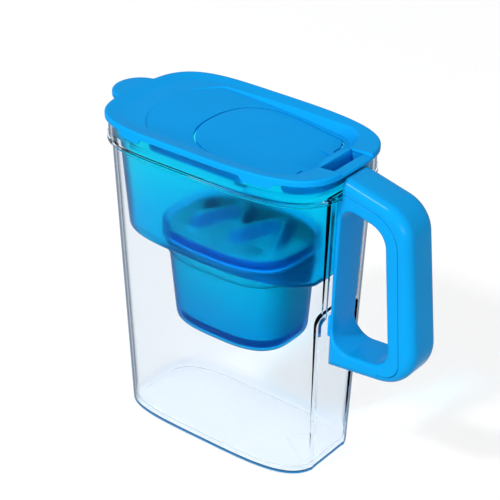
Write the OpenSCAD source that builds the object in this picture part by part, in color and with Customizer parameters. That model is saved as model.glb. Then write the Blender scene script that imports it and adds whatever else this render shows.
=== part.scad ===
// Water filter pitcher with a flip lid: a clear tapered jug with a two-part handle, a tinted
// reservoir with a cartridge in its sleeve, and a lid with a pivoting filling flap.
// +X points to the handle, -X to the spout, +Z up. The origin is on the table under the jug.

/* [Jug] */
// Half-width of the mouth, measured outside its collar
mouth_half_w = 51.8; // [48:0.1:56]
// Reach of the mouth towards the spout, from the origin
mouth_front = 85.1; // [80:0.1:90]
// Reach of the mouth towards the handle, from the origin
mouth_rear = 96.3; // [92:0.1:102]
// How far the widest line of the mouth lies towards the spout
mouth_shift = 13.3; // [8:0.1:16]
// Half-width of the base
base_half_w = 40; // [37:0.1:43]
// Reach of the base towards the spout
base_front = 79; // [75:0.1:82]
// Reach of the base towards the handle
base_rear = 83; // [81:0.1:86]
// Height of the rim of the jug
rim_z = 229.3; // [220:0.1:245]
// Height of the collar under the rim
collar_h = 15.3; // [13:0.1:18]
// How far the collar stands out from the wall
collar_out = 1.9; // [1.2:0.1:2.6]
// Height of the bead at the foot of the collar
bead_h = 4; // [3:0.1:5]
// How far the bead stands out from the collar
bead_out = 0.8; // [0.4:0.1:1.2]
// Wall of the jug
jug_wall = 2; // [1.6:0.1:2.4]
// Floor of the jug
jug_floor = 4.5; // [3:0.1:6]
// Half-width of the pouring spout at the rim
spout_half_w = 17; // [14:0.1:17.5]
// How far the spout stands out at the rim
spout_reach = 13; // [10:0.1:14]
// How far the spout runs down the front
spout_drop = 38; // [28:1:50]
// How far the tip of the spout lies under the rim
lip_fall = 7.3; // [4:0.1:8]

/* [Handle] */
// Width of the handle
handle_w = 29.5; // [26:0.1:31]
// Rounding of the outer edges of the handle
handle_edge_r = 7; // [4:0.1:9]
// Rounding of the outer corner at the top
handle_top_r = 24; // [16:0.5:28]
// Rounding of the outer corner at the bottom
handle_foot_r = 29; // [20:0.5:32]
// Reach of the handle behind the mouth, at its foot
handle_reach = 61; // [56:0.5:65]
// Depth of the finger window at its foot, from the spine to the grip
window_w = 45.6; // [42:0.1:47]
// Distance of the parting line from the finger window
part_line = 9; // [7:0.1:11]
// Height of the foot of the handle at the jug
handle_foot_z = 86; // [80:1:92]
// Wall of the outer shell of the handle
handle_wall = 2.4; // [1.8:0.1:3]
// Width of the channel in the jug that takes the spine
channel_w = 32; // [31.5:0.1:34]

/* [Reservoir] */
// Wall of the reservoir
tank_wall = 1.6; // [1.2:0.1:1.9]
// Height of the underside of its floor
tank_z = 149; // [144:0.5:156]
// Thickness of its floor
tank_floor = 1.8; // [1.5:0.1:2.4]
// Space that is left for pouring, between the reservoir and the spout wall
pour_gap = 5; // [3:0.1:7]
// Half-length of the cartridge sleeve at its top
sleeve_half_l = 51; // [48:0.5:53]
// Half-width of the cartridge sleeve at its top
sleeve_half_w = 37.4; // [35:0.1:38.5]
// How far the sleeve narrows on each side from top to bottom
sleeve_draft = 4.6; // [3:0.1:6]
// Depth of the sleeve below the floor
sleeve_depth = 65; // [58:0.5:70]
// Centre of the sleeve along the jug
sleeve_x = 6; // [3:0.5:8]

/* [Cartridge] */
// Wall of the cartridge housing
cart_wall = 1.5; // [1.2:0.1:1.8]
// Height of the bottom of the cartridge over the sleeve's bottom
cart_rise = 8.5; // [6:0.5:12]
// Thickness of the cartridge's flange
cart_flange = 1.5; // [1.2:0.1:2]
// Height of the domed cap at its rim
cap_rim_h = 3; // [2:0.1:4]
// Height of the wave grip over the rim of the cap
grip_h = 9.5; // [7:0.1:11]
// Sideways swing of the wave grip
grip_swing = 9; // [6:0.1:11]
// Thickness of the seal ring
seal_h = 1.3; // [1:0.1:1.6]
// Height of the carbon and resin bed
bed_h = 38; // [30:0.5:42]
// Thickness of the fibre pad over the bed
pad_h = 6; // [4:0.5:7]

/* [Lid] */
// Height of the lid's top edge over the rim of the jug
lid_h = 4.7; // [4.3:0.1:5.5]
// Thickness of the lid's top and of its skirt
lid_t = 1.9; // [1.6:0.1:2.2]
// How far the skirt stands out from the collar
lid_out = 1.7; // [1.6:0.1:2]
// How far the flat band of the lid falls towards the recess
band_fall = 1.2; // [0.6:0.1:1.6]
// Half-width of the recess
recess_half_w = 43; // [41:0.1:44]
// Reach of the recess towards the spout
recess_front = 59.5; // [56:0.1:62]
// Depth of the recess at its handle end
recess_depth = 7; // [6:0.1:7.5]
// Length of the skirt lobes that grip the collar
lobe_h = 3.8; // [3:0.1:5]
// Radius of the tab that covers the spout
tab_r = 18.5; // [17:0.1:20]
// Width of the thumb notch
notch_w = 34; // [32:0.5:36]

/* [Flip lid] */
// Half-width of the flap
flap_half_w = 37.5; // [36:0.1:38]
// Thickness of the flap
flap_t = 2.4; // [2:0.1:2.8]
// Gap round the flap
flap_gap = 1; // [0.9:0.1:1.3]
// Distance from the front of the flap to its pivot
pivot_back = 17; // [15:0.5:20]
// Radius of the pivot pins
pin_r = 1.1; // [0.9:0.05:1.2]
// Running clearance of the pins, on the radius
pin_gap = 0.06; // [0.03:0.01:0.1]
// Width of the finger scoop in front of the bar
scoop_w = 24; // [20:0.5:28]

/* [Hidden] */
ring_n = 60;            // points round each loft
arc_n = 7;              // steps in each rounded corner
seat_gap = 0.3;         // between pieces that lift apart
slide_gap = 0.5;        // between the collars that nest
far = 400;              // past every outline

// Outline of a loft: [centre x, reach to the spout, reach to the handle, half-width,
// squareness at the spout, squareness at the handle]
function inset(p, d) = [p[0], p[1] - d, p[2] - d, p[3] - d, p[4], p[5]];
function blend(a, b, s) = a + (b - a) * s;
function loop(p, front = far, rear = far) =
    [for (i = [0:ring_n - 1])
        let(t = 360 * i / ring_n, c = cos(t), s = sin(t),
            n = c < 0 ? p[4] : p[5], reach = c < 0 ? p[1] + p[0] : p[2] - p[0],
            x = p[0] + reach * sign(c) * pow(abs(c), 2 / n))
        [max(-front, min(rear, x)), p[3] * sign(s) * pow(abs(s), 2 / n)]];
function at_z(pts, z) = [for (q = pts) [q[0], q[1], z]];
function flipped(pts) = [for (k = [len(pts) - 1:-1:0]) pts[k]];

// A closed solid through rings of ring_n points, with flat ends
module skin(rings) {
    n = len(rings[0]);
    k = len(rings);
    polyhedron(
        points = [for (r = rings) each r],
        faces = concat(
            [[for (i = [0:n - 1]) i]],
            [[for (i = [n - 1:-1:0]) (k - 1) * n + i]],
            [for (j = [0:k - 2], i = [0:n - 1])
                [j * n + i, (j + 1) * n + i, (j + 1) * n + (i + 1) % n]],
            [for (j = [0:k - 2], i = [0:n - 1])
                [j * n + i, (j + 1) * n + (i + 1) % n, j * n + (i + 1) % n]]));
}

// Points of a polygon whose corners are rounded, each with its own radius
function corner(a, b, c, r) = r == 0 ? [b] :
    let(u = (a - b) / norm(a - b), v = (c - b) / norm(c - b),
        half = acos(u * v) / 2, m = (u + v) / norm(u + v),
        o = b + m * r / sin(half), p = b + u * r / tan(half) - o, q = b + v * r / tan(half) - o,
        a0 = atan2(p[1], p[0]), turn = (atan2(q[1], q[0]) - a0 + 540) % 360 - 180)
    [for (i = [0:arc_n]) o + r * [cos(a0 + turn * i / arc_n), sin(a0 + turn * i / arc_n)]];
function rounded(pts, radii) =
    let(n = len(pts))
    [for (i = [0:n - 1]) each corner(pts[(i + n - 1) % n], pts[i], pts[(i + 1) % n], radii[i])];
function arc(o, r, a0, a1, n = arc_n) =
    [for (i = [0:n]) o + r * [cos(a0 + (a1 - a0) * i / n), sin(a0 + (a1 - a0) * i / n)]];

// An upright profile drawn in X and Z, extruded across the jug from y0 to y1
module across(pts, y0, y1) {
    translate([0, y1, 0]) rotate([90, 0, 0]) linear_extrude(y1 - y0) polygon(pts);
}

// ---- jug ----
neck_z = rim_z - collar_h;
mouth = [-mouth_shift, mouth_front, mouth_rear, mouth_half_w, 3.5, 3.7];
base = [0, base_front, base_rear, base_half_w, 3.9, 3.9];
neck = inset(mouth, collar_out);
function wall_at(z) = blend(base, neck, z / neck_z);

// The flat panel of the handle end leans outwards by this angle
panel_lean = 1.57;
panel_x = base_rear - 1.3;
panel_top_z = handle_foot_z + 39;
panel_half_w = [18, 20.5];
panel_r = 5;
channel_step = 2.5;
function panel_at(z) = panel_x + z * tan(panel_lean);
function channel_at(z) = panel_at(z) + channel_step;

// Everything behind the flat panel and behind the channel of the spine, grown by d
module handle_side(d) {
    reach = 40;
    translate([panel_x, 0, 0]) rotate([0, panel_lean, 0])
        translate([-d, 0, 0]) rotate([90, 0, 90]) linear_extrude(reach) polygon(rounded(
            [[-panel_half_w[0] - d, -30], [panel_half_w[0] + d, -30],
             [panel_half_w[1] + d, panel_top_z + d], [-panel_half_w[1] - d, panel_top_z + d]],
            [0, 0, panel_r + d, panel_r + d]));
    intersection() {
        translate([panel_x, 0, 0]) rotate([0, panel_lean, 0])
            translate([channel_step - d, -channel_w / 2 - d, panel_top_z - 10])
                cube([reach, channel_w + 2 * d, neck_z]);
        translate([0, -mouth_half_w, 0]) cube([2 * reach + panel_x, 2 * mouth_half_w, neck_z + d - 0.05]);
    }
}

// The pouring spout, grown by d: a beak that swells out of the wall and widens up to the mouth
spout_n = 24;
spout_rise = [0, 0.3, 0.6, 0.85, 1];
spout_top_z = neck_z + bead_h + 1;
function spout_front(s) = spout_reach * pow(s, 1.4);
function spout_ring(s, z, d) =
    let(half = blend(0.35, 1, s) * spout_half_w + d / 2, wall = wall_at(min(z, neck_z))[1] - 0.6)
    [for (k = [0:spout_n]) let(a = 180 * k / spout_n - 90)
        [-wall - (spout_front(s) + 0.6) * pow(cos(a), 2) - d, half * sin(a) * (1 + 0.12 * pow(cos(a), 2)), z],
     [-wall + 6, half, z], [-wall + 6, -half, z]];
module spout(d) {
    skin([for (s = spout_rise) flipped(spout_ring(s, blend(rim_z - spout_drop, spout_top_z, s), d)),
        flipped(spout_ring(1, rim_z + (d < 0 ? 1 : 0), d))]);
}

module jug_outside() {
    skin([
        at_z(loop(inset(base, 1.8)), 0),
        at_z(loop(inset(base, 0.5)), 0.5),
        at_z(loop(wall_at(1.8)), 1.8),
        for (k = [1:2]) at_z(loop(wall_at(neck_z * k / 2)), neck_z * k / 2),
        at_z(loop(inset(mouth, 0.3 - bead_out)), neck_z),
        at_z(loop(inset(mouth, -bead_out)), neck_z + 0.6),
        at_z(loop(inset(mouth, -bead_out)), neck_z + bead_h - 0.6),
        at_z(loop(mouth), neck_z + bead_h),
        at_z(loop(mouth), rim_z - 0.5),
        at_z(loop(inset(mouth, 0.5)), rim_z)]);
}
module jug_inside() {
    skin([
        at_z(loop(inset(wall_at(jug_floor), jug_wall + 3.5)), jug_floor),
        at_z(loop(inset(wall_at(jug_floor), jug_wall + 1)), jug_floor + 1),
        at_z(loop(inset(wall_at(jug_floor), jug_wall)), jug_floor + 3.5),
        for (k = [1:2])
            let(z = blend(jug_floor, neck_z + jug_wall, k / 2))
            at_z(loop(inset(wall_at(min(z, neck_z)), jug_wall)), z),
        at_z(loop(inset(mouth, jug_wall)), neck_z + bead_h),
        at_z(loop(inset(mouth, jug_wall)), rim_z + 1)]);
}
module jug_body() {
    color([0.93, 0.96, 0.98, 0.4])
    difference() {
        union() {
            difference() {
                jug_outside();
                handle_side(0);
            }
            spout(0);
        }
        difference() {
            jug_inside();
            handle_side(jug_wall);
        }
        spout(-jug_wall);
        // the lip of the spout slopes down to its tip
        across([[-2 * mouth_front, rim_z - lip_fall], [-mouth_front - spout_reach, rim_z - lip_fall],
            [-mouth_front + 1, rim_z], [-mouth_front + 1, rim_z + 9], [-2 * mouth_front, rim_z + 9]],
            -mouth_half_w, mouth_half_w);
    }
}

// ---- handle ----
hook_x = mouth_rear + bead_out + seat_gap;
spine_gap = 0.4;
tongue_w = 18;
tongue_h = 17.6;
window_ease = 2.2;
part_gap = 0.3;         // between the two halves of the handle
// slopes, in X and Z, of the top, the foot, the grip and the two sides of the window
top_slope = 0.246;
foot_slope = 0.105;
grip_lean = 0.0875;
window_lean = [0.059, 0.0617];
handle_top_z = rim_z - 0.7;
foot = [mouth_rear + handle_reach, handle_foot_z + 7.6];
shoulder_z = handle_top_z - 12;
shoulder = [foot[0] - (shoulder_z - foot[1]) * grip_lean, shoulder_z];
heel = [channel_at(handle_foot_z) + spine_gap, foot[1] - foot_slope * (foot[0] - panel_x - channel_step)];
crest_x = channel_at(rim_z) + spine_gap;
function handle_outline() = rounded(
    [heel, foot, shoulder, [crest_x, shoulder[1] + top_slope * (shoulder[0] - crest_x)]],
    [1, handle_foot_r, handle_top_r, 0]);

// Finger window: its front is the spine, its rear the grip, its top runs along the handle's top
window_z = [handle_foot_z + 15, rim_z - 19.8];
window_x = mouth_rear - 5.8;
function window_front(z) = window_x + window_lean[0] * (z - window_z[0]);
function window_rear(z) = window_x + window_w - window_lean[1] * (z - window_z[0]);
window_fall = top_slope * (window_rear(window_z[1]) - window_front(window_z[1]));
function window_outline(d = 0) = rounded(
    [[window_front(window_z[0]) - d, window_z[0] - d],
     [window_rear(window_z[0]) + d, window_z[0] + 3 - d],
     [window_rear(window_z[1]) + d, window_z[1] - window_fall + d],
     [window_front(window_z[1]) - d, window_z[1] + d]],
    [14, 14, 15, 9]);
// The line where the two halves meet, closed round the inner half
part_x = window_rear(window_z[0]) - 8;
function parting_outline() = rounded(
    [[panel_x - 20, handle_foot_z - 40], [part_x, handle_foot_z - 40], [part_x, window_z[0] - 4],
     [window_rear(window_z[0]) + part_line, window_z[0] - 2],
     [window_rear(window_z[1]) + part_line, window_z[1]],
     [panel_x - 20, window_z[1] + 0.21 * (window_rear(window_z[1]) + part_line - panel_x + 20)]],
    [0, 0, 0, 13, 24, 0]);

// Rounded outside of the whole handle
module handle_blob() {
    e = handle_edge_r;
    hull() for (k = [0:4]) {
        a = 90 * k / 4;
        rotate([90, 0, 0])
            linear_extrude(handle_w - 2 * e * (1 - cos(a)), center = true)
            offset(delta = -e * (1 - sin(a)) * 0.98) polygon(handle_outline());
    }
}
// What is kept free for the jug: its collar above, its flat end below
module jug_clearance() {
    across([[panel_x - 20, neck_z - seat_gap], [hook_x, neck_z - seat_gap], [hook_x, rim_z + 20],
        [panel_x - 20, rim_z + 20]], -handle_w, handle_w);
}
module handle_frame() {
    color([0.07, 0.56, 0.90])
    difference() {
        union() {
            intersection() {
                handle_blob();
                across(parting_outline(), -handle_w, handle_w);
            }
            // tongue that hooks under the step of the jug's panel
            translate([panel_x, 0, 0]) rotate([0, panel_lean, 0])
                translate([0.1, -tongue_w / 2, panel_top_z - tongue_h - 0.4])
                    cube([channel_step + 3.5, tongue_w, tongue_h]);
        }
        jug_clearance();
        across(window_outline(), -handle_w, handle_w);
        // eased edges of the window
        for (s = [-1, 1]) hull() {
            across(window_outline(), s * (handle_w / 2 - window_ease) - 0.01,
                s * (handle_w / 2 - window_ease) + 0.01);
            across(window_outline(window_ease + 0.1), s * (handle_w / 2 + 0.1) - 0.01,
                s * (handle_w / 2 + 0.1) + 0.01);
        }
    }
}
module handle_cover() {
    color([0.05, 0.52, 0.87])
    difference() {
        handle_blob();
        jug_clearance();
        // the inner half, with the parting gap round it
        rotate([90, 0, 0]) linear_extrude(2 * handle_w, center = true)
            offset(delta = part_gap) polygon(parting_outline());
        // the hollow behind the shell, closed at both ends
        intersection() {
            rotate([90, 0, 0]) linear_extrude(handle_w - 2 * handle_wall - 3, center = true)
                offset(delta = -handle_wall - 1) polygon(handle_outline());
            across([[hook_x + 4, rim_z + 20], [hook_x + 4, window_z[1]], [part_x + 3, window_z[1]],
                [part_x + 3, handle_foot_z - 20], [foot[0] + 20, handle_foot_z - 20], [foot[0] + 20, rim_z + 20]],
                -handle_w, handle_w);
        }
    }
}

// ---- reservoir ----
tank_side_gap = 0.8;
tank_low = let(w = wall_at(tank_z))
    [w[0], w[1] - jug_wall - pour_gap + 1, w[2] - jug_wall - 2.6, w[3] - jug_wall - tank_side_gap, 3, 3];
tank_high = [neck[0], neck[1] - jug_wall - pour_gap + 1, neck[2] - jug_wall - 3.4,
    neck[3] - jug_wall - tank_side_gap, 3.4, 3.4];
tank_back_gap = 3;
function tank_back(z) = channel_at(z) - jug_wall - tank_back_gap;
function tank_at(z) = blend(tank_low, tank_high, (z - tank_z) / (neck_z - tank_z));
function tank_loop(z, d) = at_z(loop(inset(tank_at(z), d), far, tank_back(z) - d), z);
nest = inset(mouth, jug_wall + slide_gap);
nest_front = tank_high[1];
function nest_loop(z, d) = at_z(loop(inset(nest, d), nest_front - d), z);
flange_z = rim_z + seat_gap;
flange_h = 1.2;
flange_lip = 0.8;

sleeve_top = [sleeve_x, sleeve_half_l - sleeve_x, sleeve_half_l + sleeve_x, sleeve_half_w, 3, 3];
sleeve_bottom_z = tank_z - sleeve_depth;
sleeve_step_z = tank_z - 11;
sleeve_step = 0.8;
function sleeve_at(z) =
    inset(sleeve_top, sleeve_draft * (tank_z - z) / sleeve_depth + (z < sleeve_step_z ? sleeve_step : 0));
function sleeve_loop(z, d) = at_z(loop(inset(sleeve_at(z), d)), z);
floor_top = tank_z + tank_floor;

module reservoir() {
    color([0.07, 0.65, 0.93, 0.6])
    difference() {
        skin([
            // outside, upwards
            at_z(loop(inset(sleeve_at(sleeve_bottom_z), 4)), sleeve_bottom_z),
            at_z(loop(inset(sleeve_at(sleeve_bottom_z), 1.2)), sleeve_bottom_z + 1.2),
            sleeve_loop(sleeve_bottom_z + 4, 0),
            sleeve_loop(sleeve_step_z - 0.6, 0),
            sleeve_loop(sleeve_step_z + 0.2, 0),
            sleeve_loop(tank_z, 0),
            at_z(loop(inset(tank_at(tank_z), 2.2), far, tank_back(tank_z) - 2.2), tank_z),
            at_z(loop(inset(tank_at(tank_z), 0.7), far, tank_back(tank_z) - 0.7), tank_z + 0.7),
            tank_loop(tank_z + 2.5, 0),
            tank_loop((tank_z + neck_z) / 2, 0),
            tank_loop(neck_z - 0.5, 0),
            tank_loop(neck_z + bead_h, 0),
            nest_loop(neck_z + bead_h + 2, 0),
            nest_loop(flange_z, 0),
            at_z(loop(mouth, nest_front + flange_lip), flange_z),
            at_z(loop(mouth, nest_front + flange_lip), flange_z + flange_h),
            // inside, downwards
            nest_loop(flange_z + flange_h, tank_wall),
            nest_loop(neck_z + bead_h + 3.5, tank_wall),
            tank_loop(neck_z + bead_h + 1.5, tank_wall),
            tank_loop(neck_z - 0.5, tank_wall),
            tank_loop((tank_z + neck_z) / 2, tank_wall),
            tank_loop(tank_z + 4, tank_wall),
            at_z(loop(inset(tank_at(tank_z), tank_wall + 2.2), far,
                tank_back(tank_z) - tank_wall - 2.2), floor_top),
            at_z(loop(inset(sleeve_at(tank_z), tank_wall)), floor_top),
            sleeve_loop(sleeve_step_z + 0.2, tank_wall),
            sleeve_loop(sleeve_step_z - 0.6, tank_wall),
            sleeve_loop(sleeve_bottom_z + 5, tank_wall),
            at_z(loop(inset(sleeve_at(sleeve_bottom_z), tank_wall + 4)), sleeve_bottom_z + tank_floor)]);
        // outlet holes in the bottom of the sleeve
        for (x = [-2:2], y = [-1:1])
            translate([sleeve_x + 11 * x, 11 * y, sleeve_bottom_z - 1]) cylinder(r = 2.5, h = 5, $fn = 32);
    }
}

// ---- cartridge ----
cart_z = sleeve_bottom_z + cart_rise;
cart_gap = 0.5;
seal_z = floor_top + 0.1;
cart_top_z = seal_z + seal_h + cart_flange;
function cart_loop(z, d) = at_z(loop(inset(sleeve_at(min(z, tank_z)), tank_wall + cart_gap + d)), z);
grille_z = cart_z + 1.5;
grille_h = 1.8;
screen_h = 0.6;
stack_gap = 0.1;
module cartridge_housing() {
    color([0.05, 0.55, 0.78])
    difference() {
        skin([
            cart_loop(cart_z, 1.2),
            cart_loop(cart_z + 1.2, 0),
            cart_loop(sleeve_step_z - 0.8, 0),
            cart_loop(sleeve_step_z + 0.4, 0),
            cart_loop(cart_top_z - cart_flange, 0),
            at_z(loop(inset(sleeve_top, -0.6)), cart_top_z - cart_flange),
            at_z(loop(inset(sleeve_top, -0.6)), cart_top_z),
            cart_loop(cart_top_z, cart_wall),
            cart_loop(sleeve_step_z + 0.4, cart_wall),
            cart_loop(sleeve_step_z - 0.8, cart_wall),
            cart_loop(grille_z, cart_wall)]);
        // open bottom, with a lip that carries the grille
        skin([cart_loop(cart_z - 1, cart_wall + 3), cart_loop(grille_z + 1, cart_wall + 3)]);
    }
}
module cartridge_seal() {
    color([0.82, 0.86, 0.90])
    difference() {
        skin([at_z(loop(inset(sleeve_top, -0.1)), seal_z), at_z(loop(inset(sleeve_top, -0.1)), seal_z + seal_h - 0.1)]);
        skin([at_z(loop(inset(sleeve_top, tank_wall + 0.2)), seal_z - 1),
            at_z(loop(inset(sleeve_top, tank_wall + 0.2)), seal_z + 3)]);
    }
}
// A flat slice that fills the cartridge from z, h thick
module cart_slice(z, h) {
    skin([cart_loop(z, cart_wall + 0.3), cart_loop(z + h, cart_wall + 0.3)]);
}
module outlet_grille() {
    color([0.10, 0.60, 0.85])
    difference() {
        cart_slice(grille_z + stack_gap, grille_h);
        for (x = [-3:3]) translate([sleeve_x + 9 * x - 2, -15, grille_z - 1]) cube([4, 30, 6]);
    }
}
bed_z = grille_z + grille_h + screen_h + 3 * stack_gap;
module outlet_screen() {
    color([0.85, 0.88, 0.90]) cart_slice(grille_z + grille_h + 2 * stack_gap, screen_h);
}
module media_bed() {
    color([0.13, 0.13, 0.15]) cart_slice(bed_z, bed_h);
}
module fibre_pad() {
    color([0.93, 0.93, 0.90])
    skin([cart_loop(bed_z + bed_h + stack_gap, cart_wall + 0.3),
        cart_loop(bed_z + bed_h + stack_gap + pad_h, cart_wall + 0.5)]);
}
module inlet_screen() {
    color([0.85, 0.88, 0.90]) cart_slice(bed_z + bed_h + pad_h + 2 * stack_gap, screen_h);
}

// Height of the cap over its rim, at a place given by its share r of the way to the edge
cap = inset(sleeve_top, 1.8);
function grip_line(x) = grip_swing * sin(360 * (x - sleeve_x) / 62);
function cap_height(x, y, r) =
    let(edge = 1 - pow(r, 6), off = (y - grip_line(x)) / 11)
    edge * (3.2 + grip_h * exp(-off * off) * (1 - pow(r, 4) * 0.5));
function cap_ring(r, drop) =
    [for (q = loop(cap))
        let(x = sleeve_x + (q[0] - sleeve_x) * r, y = q[1] * r)
        [x, y, cap_z + cap_rim_h + cap_height(x, y, r) - drop]];
cap_z = cart_top_z + stack_gap;
cap_t = 1.6;
module cartridge_cap() {
    color([0.04, 0.50, 0.78])
    difference() {
        skin([
            for (r = [0.04, 0.3, 0.55, 0.75, 0.9]) cap_ring(r, cap_t),
            at_z(loop(inset(cap, 2)), cap_z),
            at_z(loop(cap), cap_z),
            for (r = [1, 0.97, 0.92, 0.82, 0.7, 0.56, 0.42, 0.28, 0.14, 0.04]) cap_ring(r, 0)]);
        // inlet slots in the hollows beside the grip
        for (s = [-1, 1], k = [-1:1])
            translate([sleeve_x + s * 17 + 4.5 * k, -s * 17, cap_z])
                cube([1.6, 9, 20], center = false);
    }
}

// ---- lid ----
lid = inset(mouth, -lid_out);
lid_top = rim_z + lid_h;
plate_z = flange_z + flange_h + seat_gap;
skirt_z = rim_z + 0.5;
band_w = 8;
band_z = lid_top - band_fall;
tab_x = mouth_front - 2.1;
recess_rear = mouth_rear - 16.8;
floor_lean = atan(recess_depth / (recess_rear + recess_front));
function floor_at(x) = band_z - (x + recess_front) * tan(floor_lean);

// Outline of the recess: a crescent at the spout, bowed sides, round corners at the handle
crescent_r = 52.5;
crescent_x = recess_front - crescent_r;
corner_l = 23;
corner_w = recess_half_w - 1.4 - notch_w / 2;
function recess_outline() =
    let(h = recess_half_w,
        side = [for (k = [1:5]) let(x = blend(-41, recess_rear - corner_l, k / 6))
            [x, h - pow((x - 15) / 56, 2) * 2.6]],
        bend = [for (k = [0:6]) let(a = 15 * k)
            [recess_rear - corner_l + corner_l * sin(a), notch_w / 2 + corner_w * pow(cos(a), 0.8)]],
        upper = concat(side, bend))
    concat(
        arc([-crescent_x, 0], crescent_r, 230, 130, 12),
        upper,
        [for (k = [len(upper) - 1:-1:0]) [upper[k][0], -upper[k][1]]]);

// The recess as a solid, with sloped walls; d grows it outwards and down
wall_slope = 0.45;
module recess(d, top) {
    pts = recess_outline();
    mid = 15;
    low = [for (q = pts)
        let(f = floor_at(q[0]), shrink = 1 - wall_slope * (band_z - f) / recess_half_w,
            g = 1 + d / recess_half_w,
            x = mid + (q[0] - mid) * shrink * g, y = q[1] * shrink * g)
        [x, y, floor_at(x) - d]];
    high = [for (q = pts)
        let(g = 1 + (d + 0.2 * wall_slope) / recess_half_w) [mid + (q[0] - mid) * g, q[1] * g, top]];
    // the outline runs clockwise, so the rings are turned round
    skin([flipped(low), flipped(high)]);
}

// Outline of the flap and, behind it, of the bridge to the thumb bar; d grows it
flap_front = 19;
flap_mid = 17;
flap_n = 2.35;
bar_rear = recess_rear + 1.8;
flap_rear = bar_rear - 13.8;
bar_half_l = notch_w / 2 - 0.6;
function flap_front_half(d) =
    [for (k = [0:12]) let(a = 90 + 90 * k / 12)
        [flap_mid - (flap_front + flap_mid + d) * pow(abs(cos(a)), 2 / flap_n),
         (flap_half_w + d) * pow(sin(a), 2 / flap_n)]];
function flap_outline(d) =
    let(rear = rounded(
            [[flap_mid - 1, flap_half_w + d], [flap_mid + 6, flap_half_w + d],
             [flap_rear - 3.5 + d, 32.6 + d], [flap_rear + d, 24 + d], [flap_rear + d, 0]],
            [0, 30, 6.5, 5, 0]),
        upper = concat([for (k = [len(rear) - 2:-1:1]) rear[k]], flap_front_half(d)))
    concat(upper, [for (k = [len(upper) - 2:-1:0]) [upper[k][0], -upper[k][1]]]);

pivot_x = pivot_back - flap_front;
pivot_d = 1.6;
pivot_z = floor_at(pivot_x) - pivot_d;
pivot_half_w = 34.6;
pin_root = 3;           // depth of a pin's root inside the flap
pin_end = 3.4;          // how far a pin reaches past its land
function flap_half_at(x) =
    flap_half_w * pow(1 - pow((flap_mid - x) / (flap_front + flap_mid), flap_n), 1 / flap_n);
ledge_t = 1.2;
// Puts children in the leaning frame of the recess floor: z = 0 is the floor's surface
module on_floor() {
    translate([0, 0, floor_at(0)]) rotate([0, floor_lean, 0]) children();
}
module flap_prism(d, z0, h) {
    on_floor() translate([0, 0, z0]) linear_extrude(h) polygon(flap_outline(d));
}

// Side view of the thumb notch, with the sloped step up to the low lip
notch_d = 10.5;
notch_z = lid_top - notch_d;
notch_step = 4;
tub_rear = mouth_rear - 7.7;
slot_web = 1.2;         // between the slots in the floor of the notch, and before them
function notch_profile() = [[bar_rear - 1.7, far], [bar_rear - 1.7, notch_z], [tub_rear, notch_z],
    [tub_rear, notch_z + notch_step], [tub_rear + 1.7, lid_top - 2], [far, lid_top - 2], [far, far]];

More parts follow.
